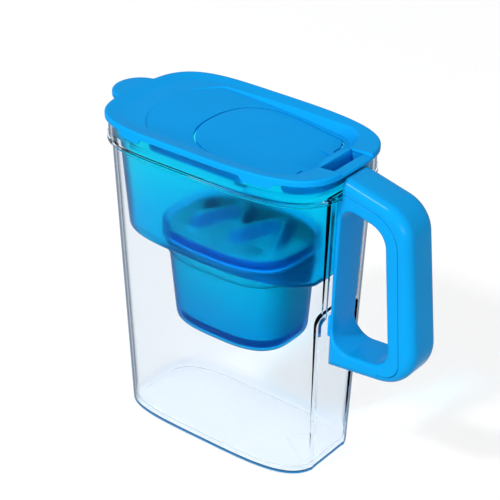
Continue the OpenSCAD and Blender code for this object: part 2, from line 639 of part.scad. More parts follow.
// Upright strips, in side view, where the outer skirt runs down into lobes
lobe_x = [[-56, -34], [44, 70]];
plug_x = [[-32, 45], [70, 110]];
plug = inset(nest, tank_wall + slide_gap);
plug_t = 1.4;
plug_h = 7.6;
plug_z = rim_z - plug_h;
module lid_cover() {
    color([0.05, 0.55, 0.89])
    difference() {
        union() {
            difference() {
                union() {
                    skin([
                        at_z(loop(lid), skirt_z),
                        at_z(loop(lid), lid_top - 1.2),
                        at_z(loop(inset(lid, 0.35)), lid_top - 0.35),
                        at_z(loop(inset(lid, 1.2)), lid_top),
                        at_z(loop(inset(lid, band_w)), band_z)]);
                    translate([-tab_x, 0, skirt_z]) cylinder(r = tab_r, h = lid_top - 0.1 - skirt_z, $fn = 96);
                }
                skin([
                    at_z(loop(inset(lid, lid_out - slide_gap + 0.1)), skirt_z - 1),
                    at_z(loop(inset(lid, lid_out - slide_gap + 0.1)), plate_z)]);
                translate([-tab_x, 0, skirt_z - 1])
                    cylinder(r = tab_r - 1.3, h = plate_z - skirt_z + 1, $fn = 96);
            }
            // lobes of the outer skirt
            intersection() {
                difference() {
                    skin([at_z(loop(lid), skirt_z - lobe_h - 1), at_z(loop(lid), skirt_z + 0.5)]);
                    skin([at_z(loop(inset(lid, lid_out - slide_gap + 0.1)), skirt_z - lobe_h - 2),
                        at_z(loop(inset(lid, lid_out - slide_gap + 0.1)), skirt_z + 2)]);
                }
                for (s = lobe_x) across(rounded(
                    [[s[0], skirt_z + 3], [s[0] + 3, skirt_z - lobe_h], [s[1] - 3, skirt_z - lobe_h],
                     [s[1], skirt_z + 3]], [0, 2, 2, 0]), -70, 70);
            }
            // inner skirt that plugs the reservoir
            intersection() {
                difference() {
                    skin([at_z(loop(plug), plug_z - 1), at_z(loop(plug), plate_z + 0.5)]);
                    skin([at_z(loop(inset(plug, plug_t)), plug_z - 2), at_z(loop(inset(plug, plug_t)), plate_z + 2)]);
                }
                for (s = plug_x) across(rounded(
                    [[s[0], plate_z + 3], [s[0] + 2, plug_z], [s[1] - 4, plug_z], [s[1], plate_z + 3]],
                    [0, 1.5, 3, 0]), -70, 70);
            }
            recess(lid_t, plate_z + 0.4);
            // tub of the thumb notch
            translate([bar_rear - 3.5, -notch_w / 2 - 1.5, notch_z - lid_t])
                cube([tub_rear + 2 - bar_rear + 3.5, notch_w + 3, plate_z + 0.4 - notch_z + lid_t]);
            // ledge under the flap, behind the pivot
            intersection() {
                difference() {
                    flap_prism(3, -flap_t - ledge_t - 0.2, flap_t + ledge_t);
                    flap_prism(-2.2, -10, 20);
                }
                translate([pivot_x + 7, -mouth_half_w, notch_z - 20])
                    cube([flap_rear - 4 - pivot_x, 2 * mouth_half_w, 40]);
            }
            // bosses that hold the pins
            for (s = [0, 1]) mirror([0, s, 0]) on_floor()
                translate([pivot_x - 3.2, pivot_half_w + flap_gap, -pivot_d - 2.8])
                    cube([6.4, 4, pivot_d + 1]);
        }
        recess(0, lid_top + 2);
        flap_prism(flap_gap, -flap_t - 0.2, 20);
        intersection() {
            flap_prism(flap_gap, -20, 40);
            translate([-mouth_front, -mouth_half_w, notch_z - 20])
                cube([mouth_front + pivot_x + 7, 2 * mouth_half_w, 40]);
        }
        flap_prism(-2.2, -20, 40);
        across(notch_profile(), -notch_w / 2, notch_w / 2);
        // room for the bridge and the bar of the flap, and below it for the pad of the scoop
        translate([flap_rear - 4, -notch_w / 2, floor_at(bar_rear) - flap_t - 0.6])
            cube([bar_rear - flap_rear + 4.6, notch_w, 30]);
        translate([flap_rear - 4, -scoop_w / 2 - 2.3, notch_z - lid_t - 5])
            cube([bar_rear - flap_rear + 4.6, scoop_w + 4.6, 30]);
        // room for the edges of the flap beside the pins, when it stands open
        translate([pivot_x - pivot_d - 0.7, -pivot_half_w - 0.6, notch_z - 20])
            cube([pivot_d + 4.7, 2 * pivot_half_w + 1.2, 40]);
        // slots in the floor of the notch
        for (s = [0, 1]) mirror([0, s, 0]) translate([bar_rear + slot_web, slot_web, notch_z - 5])
            cube([5, notch_w / 2 - 5 - slot_web, 10]);
        // bores for the pins
        translate([pivot_x, 0, pivot_z]) rotate([90, 0, 0])
            cylinder(r = pin_r + pin_gap, h = 2 * (pivot_half_w + flap_gap + 3), center = true, $fn = 32);
    }
}

module flip_lid() {
    scoop_front = flap_rear - 8.5;
    scoop_rear = bar_rear - 4.9;
    color([0.06, 0.57, 0.90])
    difference() {
        union() {
            difference() {
                flap_prism(0, -flap_t, flap_t);
                // straight lands beside the pins
                for (s = [0, 1]) mirror([0, s, 0]) translate([pivot_x - 3.5, pivot_half_w, notch_z - 20])
                    cube([7.5, 5, 40]);
            }
            // bridge to the bar
            on_floor() translate([flap_rear - 6, -bar_half_l, -flap_t])
                cube([bar_rear - flap_rear + 6, 2 * bar_half_l, flap_t]);
            // pad under the scoop
            on_floor() translate([flap_rear - 10, -scoop_w / 2 - 1.5, -flap_t - 2])
                cube([bar_rear - flap_rear + 10, scoop_w + 3, 3]);
            // thumb bar, its front bowed towards the spout
            translate([0, 0, floor_at(bar_rear) - flap_t])
                linear_extrude(band_z - floor_at(bar_rear) + flap_t)
                polygon(concat([[bar_rear, -bar_half_l], [bar_rear, bar_half_l]],
                    [for (k = [0:8]) let(y = bar_half_l * (1 - k / 4))
                        [bar_rear - 2 - 3 * (1 - pow(y / bar_half_l, 2)), y]]));
            // foot of the bar, which rests on the floor of the notch
            translate([bar_rear - 1, -bar_half_l, notch_z + seat_gap])
                cube([2, 2 * bar_half_l, 1.3]);
            // pivot pins, rooted in the flap
            translate([pivot_x, 0, pivot_z]) for (s = [-90, 90]) rotate([s, 0, 0])
                translate([0, 0, flap_half_at(pivot_x) - pin_root])
                    cylinder(r = pin_r, h = pivot_half_w + pin_end - flap_half_at(pivot_x) + pin_root, $fn = 32);
        }
        // finger scoop, a ramp that deepens towards the bar
        across([[scoop_front, floor_at(scoop_front) + 0.01], [scoop_rear, floor_at(bar_rear) - 2.6],
            [scoop_rear, lid_top + 3], [scoop_front, lid_top + 3]], -scoop_w / 2, scoop_w / 2);
    }
}

jug_body();
handle_frame();
handle_cover();
reservoir();
lid_cover();
flip_lid();
cartridge_housing();
cartridge_seal();
outlet_grille();
outlet_screen();
media_bed();
fibre_pad();
inlet_screen();
cartridge_cap();
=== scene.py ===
"""Looks of a household water filter jug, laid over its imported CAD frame.

+X points to the handle, -X to the spout, +Z up, and XZ is the symmetry plane. Shapes are worked
out in millimetres as numpy arrays and turned to metres when a mesh is made.
"""

import math
from types import SimpleNamespace

import bmesh
import bpy
import numpy as np
from bpy.props import FloatProperty, FloatVectorProperty, PointerProperty
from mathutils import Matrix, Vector


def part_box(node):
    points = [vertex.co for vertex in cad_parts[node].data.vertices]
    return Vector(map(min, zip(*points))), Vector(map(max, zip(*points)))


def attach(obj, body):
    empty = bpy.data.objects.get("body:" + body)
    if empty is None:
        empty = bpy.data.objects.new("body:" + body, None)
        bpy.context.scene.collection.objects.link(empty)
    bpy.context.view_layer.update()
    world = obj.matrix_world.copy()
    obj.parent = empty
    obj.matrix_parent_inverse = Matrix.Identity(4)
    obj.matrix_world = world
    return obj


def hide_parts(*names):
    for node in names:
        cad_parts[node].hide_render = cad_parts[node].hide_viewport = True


bl_info = {
    "name": "Filter jug",
    "version": (1, 0, 0),
    "blender": (4, 5, 0),
    "location": "View3D > Sidebar > Filter jug",
    "description": "Builds the moulded shells, the cartridge and the studio of a water filter jug",
    "category": "Object",
}

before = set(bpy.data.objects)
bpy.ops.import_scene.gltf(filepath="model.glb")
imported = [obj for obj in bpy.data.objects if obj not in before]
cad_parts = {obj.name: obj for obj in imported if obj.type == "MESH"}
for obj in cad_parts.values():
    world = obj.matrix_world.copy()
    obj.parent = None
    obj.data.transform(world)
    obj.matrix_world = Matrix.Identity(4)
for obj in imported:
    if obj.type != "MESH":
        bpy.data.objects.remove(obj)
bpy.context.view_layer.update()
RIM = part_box("jug_body")[1].z
LID_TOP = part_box("lid_cover")[1].z
SLEEVE_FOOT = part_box("reservoir")[0].z


# ---- properties ---------------------------------------------------------------------------


def length(name, default, text):
    """A size in metres."""
    return FloatProperty(name=name, description=text, default=default, unit="LENGTH", precision=5)


def angle(name, degrees, text):
    """An angle, kept in radians and shown in degrees."""
    return FloatProperty(name=name, description=text, default=math.radians(degrees), subtype="ANGLE")


def colour(name, default, text):
    """A colour in linear RGB."""
    return FloatVectorProperty(name=name, description=text, default=default, size=3, subtype="COLOR",
                               min=0, max=1)


class JugSizes(bpy.types.PropertyGroup):
    """The clear jug"""

    mouth_half_w: length("Mouth half-width", 0.0518, "Outside of the collar")
    mouth_front: length("Mouth to the spout", 0.0851, "Reach of the mouth towards the spout")
    mouth_rear: length("Mouth to the handle", 0.0963, "Reach of the mouth towards the handle")
    mouth_shift: length("Widest line", 0.0133, "How far the widest line lies towards the spout")
    base_half_w: length("Base half-width", 0.040, "Half-width at the table")
    base_front: length("Base to the spout", 0.079, "Reach of the base towards the spout")
    base_rear: length("Base to the handle", 0.083, "Reach of the base towards the handle")
    collar_h: length("Collar height", 0.0153, "From the foot of the collar to the rim")
    collar_out: length("Collar step", 0.0019, "How far the collar stands out")
    bead_h: length("Bead height", 0.004, "Bead at the foot of the collar")
    bead_out: length("Bead step", 0.0008, "How far the bead stands out")
    wall: length("Wall", 0.002, "Wall of the jug")
    floor: length("Floor", 0.0045, "Thickness of the floor")
    spout_reach: length("Spout reach", 0.0129, "How far the lip stands out at the rim")
    spout_half_w: length("Spout half-width", 0.0200, "Half-width of the lip at the rim")
    spout_drop: length("Spout height", 0.038, "How far the spout runs down")
    lip_fall: length("Lip fall", 0.0073, "How far the tip lies under the rim")
    panel_x: length("Panel", 0.0817, "Flat panel of the handle end, at the table")
    panel_top: length("Panel top", 0.125, "Height of the panel")
    channel_step: length("Channel step", 0.0025, "From the panel to the channel of the spine")
    channel_half_w: length("Channel half-width", 0.016, "Channel that takes the spine")


class HandleSizes(bpy.types.PropertyGroup):
    """The two-part handle"""

    width: length("Width", 0.0295, "Across the jug")
    reach: length("Reach", 0.061, "From the mouth to the back of the grip, at its foot")
    foot_r: length("Foot corner", 0.029, "Rounding of the outer corner at the foot")
    top_r: length("Top corner", 0.024, "Rounding of the outer corner at the top")
    edge_r: length("Edge", 0.0070, "Rounding of the outer edges")
    window_r: length("Window edge", 0.0026, "Rounding of the window's edges")
    foot_z: length("Foot", 0.086, "Height of the foot at the jug")
    part_gap: length("Parting gap", 0.00030, "Groove between the two halves")


class ReservoirSizes(bpy.types.PropertyGroup):
    """The tinted reservoir and its sleeve"""

    wall: length("Wall", 0.0016, "Wall of the reservoir")
    under_z: length("Underside", 0.149, "Height of the underside of the floor")
    floor: length("Floor", 0.0018, "Thickness of the floor")
    pour_gap: length("Pouring gap", 0.005, "Space left towards the spout")
    sleeve_half_l: length("Sleeve half-length", 0.051, "At the top of the sleeve")
    sleeve_half_w: length("Sleeve half-width", 0.0374, "At the top of the sleeve")
    sleeve_draft: length("Sleeve draft", 0.0046, "How far each side narrows to the bottom")
    sleeve_x: length("Sleeve centre", 0.006, "Along the jug")
    step_drop: length("Sleeve step", 0.011, "Depth of the small step under the floor")
    step: length("Step", 0.0008, "How far the sleeve narrows at the step")
    collar_h: length("Collar height", 0.0095, "Collar round the cartridge's mouth, over the floor")


class CartridgeSizes(bpy.types.PropertyGroup):
    """The filter cartridge"""

    rise: length("Rise", 0.0085, "Bottom of the housing over the sleeve's bottom")
    flange: length("Flange", 0.0015, "Thickness of the flange")
    seal: length("Seal", 0.0013, "Thickness of the seal")
    wall: length("Wall", 0.0015, "Wall of the housing")
    cap_rim: length("Cap rim", 0.003, "Height of the cap at its rim")
    grip_h: length("Grip height", 0.0095, "Height of the wave grip")
    grip_swing: length("Grip swing", 0.013, "Sideways swing of the wave grip")
    grip_pitch: length("Grip pitch", 0.033, "Length of one wave of the grip")


class LidSizes(bpy.types.PropertyGroup):
    """The lid"""

    out: length("Overhang", 0.0017, "How far the skirt stands out from the collar")
    wall: length("Wall", 0.0019, "Thickness of the top and the skirt")
    edge_r: length("Edge", 0.0013, "Rounding of the outer edge")
    band_fall: length("Band fall", 0.0012, "From the edge to the recess")
    tab_x: length("Tab centre", 0.083, "Distance of the tab's centre from the origin")
    tab_r: length("Tab radius", 0.0185, "Tab that covers the spout")
    recess_half_w: length("Recess half-width", 0.043, "Half-width of the recess")
    recess_front: length("Recess front", 0.0595, "Reach of the recess towards the spout")
    recess_rear: length("Recess rear", 0.0795, "Reach of the recess towards the handle")
    recess_depth: length("Recess depth", 0.007, "At the handle end")
    crescent_r: length("Crescent radius", 0.0525, "Front edge of the recess")
    lobe_h: length("Lobe", 0.0038, "Length of the skirt's lobes")
    notch_half_w: length("Notch half-width", 0.017, "Thumb notch")
    notch_drop: length("Notch depth", 0.0105, "From the lid's top to the floor of the notch")
    lip_drop: length("Lip", 0.002, "How far the lip behind the notch lies under the top")


class FlapSizes(bpy.types.PropertyGroup):
    """The flip lid"""

    half_w: length("Half-width", 0.0375, "Half-width of the flap")
    thick: length("Thickness", 0.0024, "Thickness of the flap")
    gap: length("Gap", 0.0010, "Gap round the flap")
    front: length("Front", 0.019, "Reach towards the spout")
    rear: length("Rear", 0.0675, "Reach towards the handle")
    bar_rear: length("Bar", 0.0813, "Rear face of the thumb bar")
    pin_x: length("Pins", -0.002, "Place of the pivot pins along the jug")
    pin_drop: length("Pin depth", 0.0016, "Pin axis under the flap's surface")
    pin_r: length("Pin radius", 0.0011, "Radius of the pivot pins")
    scoop_half_w: length("Scoop half-width", 0.012, "Finger scoop before the bar")
    scoop_depth: length("Scoop depth", 0.0026, "Depth of the scoop at the bar")


class Colours(bpy.types.PropertyGroup):
    """Colours of the plastics"""

    lid: colour("Lid", (0.003, 0.30, 0.735), "Moulded lid")
    # Painted shade: the underside is the lid's own plastic, given a darker copy of its colour as if the
    # lid above it shaded it.
    plug: colour("Lid underside", (0.003, 0.105, 0.26), "Skirt and ledge under the lid")
    flap: colour("Flap", (0.003, 0.305, 0.750), "Moulded flap")
    handle: colour("Handle", (0.003, 0.290, 0.680), "Moulded handle")
    tank: colour("Reservoir", (0.04, 0.94, 1.0), "Tinted reservoir")
    housing: colour("Cartridge", (0.001, 0.335, 0.29), "Cartridge housing")
    cap: colour("Cap", (0.002, 0.29, 0.33), "Cartridge cap")
    clear: colour("Jug", (0.967, 0.970, 0.974), "Clear jug")


class Studio(bpy.types.PropertyGroup):
    """The camera"""

    azimuth: angle("Azimuth", 38.62, "Round the jug, where 0 looks along +Y")
    elevation: angle("Elevation", 30.0, "Over the horizon")
    distance: length("Distance", 1.117, "From the camera to its target")
    lens: FloatProperty(name="Lens", description="Focal length on a 36 mm sensor", default=119.52,
                        unit="CAMERA")
    target_x: length("Target X", 0.0129, "Point that the camera looks at, along the jug")
    target_z: length("Target Z", 0.1419, "Height of the point that the camera looks at")


class PitcherSettings(bpy.types.PropertyGroup):
    """All sizes and colours of the jug"""

    jug: PointerProperty(type=JugSizes)
    handle: PointerProperty(type=HandleSizes)
    reservoir: PointerProperty(type=ReservoirSizes)
    cartridge: PointerProperty(type=CartridgeSizes)
    lid: PointerProperty(type=LidSizes)
    flap: PointerProperty(type=FlapSizes)
    colours: PointerProperty(type=Colours)
    studio: PointerProperty(type=Studio)


def sizes(group):
    """The lengths of a property group in millimetres, its other values as they are."""
    found = {}
    for prop in group.bl_rna.properties:
        if prop.type == "FLOAT":
            value = getattr(group, prop.identifier)
            found[prop.identifier] = value * 1000 if prop.unit == "LENGTH" else value
    return SimpleNamespace(**found)


# ---- grids --------------------------------------------------------------------------------


def smooth(x):
    """0 below 0, 1 above 1, and 3x^2 - 2x^3 between."""
    x = np.clip(x, 0, 1)
    return x * x * (3 - 2 * x)


def soft_min(a, b, k):
    """The smaller of a and b, rounded over a width k where they cross."""
    h = np.clip(0.5 + 0.5 * (b - a) / k, 0, 1)
    return b * (1 - h) + a * h - k * h * (1 - h)


def quarter(r, n):
    """Offsets (inwards, upwards) of a quarter round of radius r, from a side face to a top."""
    a = np.linspace(0, math.pi / 2, n)
    return np.stack([r * (1 - np.cos(a)), r * (np.sin(a) - 1)], 1)


def bowl(r, n):
    """Offsets (inwards, upwards) of a quarter round of radius r, from a floor to a side face."""
    a = np.linspace(0, math.pi / 2, n)
    return np.stack([r * (1 - np.sin(a)), r * (1 - np.cos(a))], 1)


def directions(n):
    """n even directions round a circle."""
    return np.linspace(0, 2 * math.pi, n + 1)[:-1]


def circle(x, y, r):
    """24 points of a circle of radius r about (x, y)."""
    t = directions(24)
    return np.stack([x + r * np.cos(t), y + r * np.sin(t)], 1)


def left_of(along):
    """Unit vectors to the left of the directions along a line."""
    side = np.stack([-along[:, 1], along[:, 0]], 1)
    return side / np.linalg.norm(side, axis=1)[:, None]


def lengths_along(line):
    """How far each point of an open line lies along it."""
    return np.concatenate([[0], np.cumsum(np.hypot(*np.diff(line, axis=0).T))])


def resampled(line, count):
    """count points at even steps along an open line."""
    along = lengths_along(line)
    want = np.linspace(0, along[-1], count)
    return np.stack([np.interp(want, along, line[:, k]) for k in (0, 1)], 1)


def grid_faces(rings, points, loop):
    """Quads that join ring k to ring k + 1, closed round each ring, and back to ring 0 if loop."""
    k = np.arange(rings if loop else rings - 1)[:, None]
    i = np.arange(points)[None, :]
    a = k * points + i
    b = k * points + (i + 1) % points
    c = (k + 1) % rings * points + (i + 1) % points
    d = (k + 1) % rings * points + i
    return np.stack([a, b, c, d], -1).reshape(-1, 4)


def patch(rings, ends="fan"):
    """Points and faces of a closed skin through rings, an array of rings x points x 3.

    ends says how it closes: a "fan" to the middle of each end ring, one "flat" face on each, or a
    "loop" in which the last ring joins the first."""
    rings = np.asarray(rings, float)
    count, points = rings.shape[:2]
    faces = grid_faces(count, points, ends == "loop").tolist()
    verts = rings.reshape(-1, 3)
    i = np.arange(points)
    j = (i + 1) % points
    top = (count - 1) * points
    if ends == "fan":
        verts = np.vstack([verts, rings[0].mean(0), rings[-1].mean(0)])
        faces += np.stack([j, i, np.full(points, count * points)], 1).tolist()
        faces += np.stack([top + i, top + j, np.full(points, count * points + 1)], 1).tolist()
    elif ends == "flat":
        faces += [i[::-1].tolist(), (top + i).tolist()]
    return verts, faces


def skin(name, patches, material, sharp=40.0):
    """One mesh object of several closed skins, in millimetres: coinciding points are merged, the
    faces are turned outwards and the shading is smooth but at edges over sharp degrees."""
    bm = bmesh.new()
    for verts, faces in patches:
        part = bpy.data.meshes.new("part")
        part.from_pydata((verts / 1000).tolist(), [], faces)
        one = bmesh.new()
        one.from_mesh(part)
        bmesh.ops.remove_doubles(one, verts=one.verts, dist=2e-6)
        bmesh.ops.dissolve_degenerate(one, edges=one.edges, dist=1e-7)
        bmesh.ops.recalc_face_normals(one, faces=one.faces)
        one.to_mesh(part)
        one.free()
        bm.from_mesh(part)
        bpy.data.meshes.remove(part)
    mesh = bpy.data.meshes.new(name)
    bm.to_mesh(mesh)
    bm.free()
    mesh.shade_smooth()
    mesh.set_sharp_from_angle(angle=math.radians(sharp))
    mesh.materials.append(material)
    piece = bpy.data.objects.new(name, mesh)
    bpy.context.scene.collection.objects.link(piece)
    return piece


def carve(piece, cutter, sharp, crossing=False):
    """Cuts the skin of the object cutter out of piece, and removes the cutter. crossing says that
    the piece's own skins pass through each other."""
    cut = piece.modifiers.new("Cut", "BOOLEAN")
    cut.object = cutter
    cut.solver = "EXACT"
    cut.use_self = crossing
    mesh = bpy.data.meshes.new_from_object(piece.evaluated_get(bpy.context.evaluated_depsgraph_get()))
    piece.modifiers.clear()
    piece.data = mesh
    mesh.shade_smooth()
    mesh.set_sharp_from_angle(angle=math.radians(sharp))
    bpy.data.objects.remove(cutter)


def prism(outline, low, high, axis=1):
    """A straight prism: the outline's two columns lie across the axis, from low to high along it."""
    outline = np.asarray(outline, float)
    rings = [np.insert(outline, axis, level, axis=1) for level in (low, high)]
    return patch(rings, "flat")


def block(low, high, r):
    """A box between two corners whose edges along Y are rounded by r."""
    (x0, y0, z0), (x1, y1, z1) = low, high
    return prism(rounded([(x0, z0), (x1, z0), (x1, z1), (x0, z1)], [r] * 4, 3), y0, y1)


def block_pair(low, high, r):
    """A block, and its mirror image across Y = 0."""
    (x0, y0, z0), (x1, y1, z1) = low, high
    return [block((x0, -y1, z0), (x1, -y0, z1), r), block(low, high, r)]


def inward(points, d):
    """A closed anticlockwise outline moved by d to its inner side."""
    return points + d * left_of(np.roll(points, -1, 0) - np.roll(points, 1, 0))


def at_height(points, z):
    """A plan outline lifted to the height z."""
    return np.column_stack([points, np.broadcast_to(z, len(points))])


def rail(lines):
    """A closed body through lines, each (plan, height), with a section at each of their points."""
    return patch(np.stack([at_height(plan, z) for plan, z in lines], 1), "flat")


def place(piece, body, slot, *nodes):
    """The piece rides on body and stands for the CAD nodes, which it hides. slot is not used."""
    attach(piece, body)
    if nodes:
        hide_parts(*nodes)


# ---- outlines -----------------------------------------------------------------------------
# An outline is [centre x, reach to the spout, reach to the handle, half-width, squareness at
# the spout, squareness at the handle].


def inset(outline, d):
    """The outline, d narrower all round."""
    return outline - d * np.array([0, 1, 1, 1, 0, 0])


def superellipse(outline, t):
    """Points (x, y) of |x / reach|^n + |y / half-width|^n = 1 at the angles t."""
    x0, front, rear, half, n_front, n_rear = outline
    c, s = np.cos(t), np.sin(t)
    n = np.where(c < 0, n_front, n_rear)
    reach = np.where(c < 0, front + x0, rear - x0)
    x = x0 + reach * np.sign(c) * np.abs(c) ** (2 / n)
    y = half * np.sign(s) * np.abs(s) ** (2 / n)
    return np.stack([x, y], 1)


def x_of(outline, y, end):
    """Where the outline lies at the half-width y, at its spout end (-1) or handle end (+1)."""
    x0, front, rear, half, n_front, n_rear = outline
    n = n_front if end < 0 else n_rear
    reach = front + x0 if end < 0 else rear - x0
    return x0 + end * reach * np.clip(1 - np.abs(y / half) ** n, 0, 1) ** (1 / n)


def rounded(corners, radii, n):
    """A polygon whose corners are replaced by arcs of the given radii, each of n steps."""
    found = []
    count = len(corners)
    for k in range(count):
        a, b, c = (np.array(corners[j % count], float) for j in (k - 1, k, k + 1))
        r = radii[k]
        if r == 0:
            found.append(b[None])
            continue
        u, v = (a - b) / np.linalg.norm(a - b), (c - b) / np.linalg.norm(c - b)
        half = math.acos(np.clip(u @ v, -1, 1)) / 2
        m = (u + v) / np.linalg.norm(u + v)
        o = b + m * r / math.sin(half)
        p, q = b + u * r / math.tan(half) - o, b + v * r / math.tan(half) - o
        a0 = math.atan2(p[1], p[0])
        turn = (math.atan2(q[1], q[0]) - a0 + 3 * math.pi) % (2 * math.pi) - math.pi
        w = a0 + turn * np.linspace(0, 1, n + 1)
        found.append(o + r * np.stack([np.cos(w), np.sin(w)], 1))
    return np.vstack(found)


def radius_about(points, centre, phi):
    """Distance from centre to a closed line of points in the directions phi."""
    points = np.vstack([points, points[:1]])
    steps = np.linspace(0, 1, 25)[:-1]
    dense = (points[:-1, None] * (1 - steps)[None, :, None]
             + points[1:, None] * steps[None, :, None]).reshape(-1, 2) - centre
    angle = np.arctan2(dense[:, 1], dense[:, 0])
    order = np.argsort(angle)
    return np.interp(phi, angle[order], np.hypot(*dense[order].T), period=2 * math.pi)


# ---- jug ----------------------------------------------------------------------------------

PANEL_LEAN = math.tan(math.radians(1.57))  # how the handle end leans out with its height
PANEL_HALF_W = (18.0, 20.5)  # half-width of the flat panel at the table and at its top
PANEL_R = 5.0                # rounding of its upper corners
STEP_W = 0.45                # width of the step between the wall and the panel
FOOT_R = 1.8                 # rounding of the foot
FLOOR_R = 3.5                # rounding between the floor and the wall, inside
RIM_R = 0.6                  # rounding of the rim on each side
HOLLOW = ((0.7, 34), (0.7, 7), (0.35, 6.2), (0, 5.4))  # (height, inset) of the hollow underneath
# The bead's profile as shares (of its height, of its step inwards).
BEAD = ((0, 0.375), (0.03, -0.5625), (0.1, -0.9375), (0.2, -1), (0.8, -1), (0.9, -0.9375),
        (0.97, -0.5625), (1, 0))
NEST_GAP = 0.5               # gap between walls that nest: jug, reservoir, cartridge and plug skirt


def shells(j):
    """Outlines of the jug: base, neck and mouth, and the height of the neck."""
    base = np.array([0, j.base_front, j.base_rear, j.base_half_w, 3.9, 3.9])
    mouth = np.array([-j.mouth_shift, j.mouth_front, j.mouth_rear, j.mouth_half_w, 3.5, 3.7])
    return SimpleNamespace(base=base, mouth=mouth, neck=inset(mouth, j.collar_out), rim=RIM * 1000,
                           neck_z=RIM * 1000 - j.collar_h)


def wall_at(s, z):
    """The wall's outline, straight from the base to the neck."""
    return s.base + (s.neck - s.base) * min(z / s.neck_z, 1)


def channel_at(j, z):
    """Where the leaning channel of the spine lies."""
    return j.panel_x + j.channel_step + z * PANEL_LEAN


def beak(j, s, y, z, d):
    """How far the spout stands out at y and z: it swells as height^1.4 and falls off to its sides
    as (1 - (y / half-width)^2)^1.5."""
    rise = np.clip((z - s.rim + j.spout_drop) / (j.spout_drop - 10), 0, 1)
    half = j.spout_half_w * (0.45 + 0.55 * rise) - d
    return j.spout_reach * rise ** 1.4 * np.clip(1 - (y / half) ** 2, 0, 1) ** 1.5


def jug_ring(j, s, z, d, recess, thick):
    """A level ring of the jug, d inside its outer outline. recess is the half-width of the recess
    at the handle end and how far it lies behind the panel, or None. The rear and the front are
    sampled by y and the sides by the angle, so that edges and spout fall on points. Over the bead
    the ring drops towards the spout's tip, by lip_fall at the rim."""
    outline = inset(wall_at(s, z) if z < s.neck_z else s.mouth, d)
    reach = min(25, 0.62 * outline[3])
    edge, behind = recess or (PANEL_HALF_W[1], None)
    edge = max(min(edge + thick, reach - 1), 2)
    half = np.concatenate([np.linspace(0, edge - STEP_W, 14), edge - STEP_W * np.array([2, 1, 0]) / 3,
                           np.linspace(edge, reach, 8)[1:]])
    y = np.concatenate([-half[:0:-1], half])
    rear = x_of(outline, y, 1)
    if behind is not None:
        plane = np.minimum(rear, j.panel_x + behind + z * PANEL_LEAN - d)
        rear = rear + (plane - rear) * smooth((edge - np.abs(y)) / STEP_W)
    t0, t1 = (math.asin(min((reach / outline[3]) ** (n / 2), 1)) for n in (outline[5], outline[4]))
    side = superellipse(outline, np.linspace(t0, math.pi - t1, 60)[1:-1])
    yf = np.linspace(reach, -reach, 61)
    out = beak(j, s, yf, z, max(d, 0))
    bare = smooth(out / 3) * min(d, 0)
    front = x_of(outline, yf, -1) - out - bare
    plan = np.vstack([np.stack([rear, y], 1), side, np.stack([front, yf], 1), side[::-1] * [1, -1]])
    fall = j.lip_fall * smooth((-j.mouth_front - plan[:, 0] + d) / j.spout_reach * 0.95)
    share = np.clip((z - s.neck_z - j.bead_h) / (s.rim - s.neck_z - j.bead_h), 0, 1)
    return at_height(plan, z - fall * share)


def panel_edge(z, top, r):
    """Half-width of the flat panel at z, with its upper corners rounded by r."""
    w = PANEL_HALF_W[0] + (PANEL_HALF_W[1] - PANEL_HALF_W[0]) * min(z / top, 1)
    over = max(z - top + r, 0)
    return w - r + math.sqrt(max(r * r - over * over, 0))


def jug_side(j, s, thick):
    """Levels and recesses of the wall, upwards: (z, inset, recess)."""
    top = j.panel_top + thick
    r = PANEL_R + thick
    first = j.floor + FLOOR_R if thick else FOOT_R
    corner = top - r + r * np.sin(np.linspace(0.15, math.pi / 2, 9))
    levels = [(z, panel_edge(z, top, r), 0) for z in [*np.linspace(first, top - r, 34), *corner]]
    levels += [(z, j.channel_half_w, j.channel_step) for z in
               [top + 0.02, *np.linspace(top + 0.5, s.neck_z - 0.1, 26)]]
    return [(z, thick, (edge, behind)) for z, edge, behind in levels]


def make_jug(j, material):
    """The clear jug: rings up its outside, over the rim and down its inside."""
    s = shells(j)
    foot = (PANEL_HALF_W[0], 0)
    bead_top = s.neck_z + j.bead_h
    rows = [(z, d, foot) for z, d in HOLLOW]
    rows += [(up, d, foot) for d, up in bowl(FOOT_R, 7)[:-1]]
    rows += jug_side(j, s, 0)
    rows += [(s.neck_z + 0.01 + up * j.bead_h, out * j.bead_out, None) for up, out in BEAD]
    rows += [(z, 0, None) for z in np.linspace(bead_top + 0.3, s.rim - RIM_R, 9)]
    rows += [(s.rim + up, out, None) for out, up in quarter(RIM_R, 4)[1:]]
    inside = [(s.rim + up, j.wall - out, None) for out, up in quarter(RIM_R, 4)[::-1]]
    inside += [(z, j.wall, None) for z in np.linspace(s.rim - 1, bead_top, 9)]
    inside += [(s.neck_z + 0.5, j.wall + 0.3, None)]
    inside += jug_side(j, s, j.wall)[::-1]
    inside += [(j.floor + up, j.wall + d, foot) for d, up in bowl(FLOOR_R, 8)[-2::-1]]
    inside += [(j.floor, HOLLOW[0][1], foot)]
    rings = [jug_ring(j, s, z, d, recess, 0) for z, d, recess in rows]
    rings += [jug_ring(j, s, z, d, recess, j.wall) for z, d, recess in inside]
    return skin("jug_shell", [patch(rings)], material, 35)


# ---- handle -------------------------------------------------------------------------------

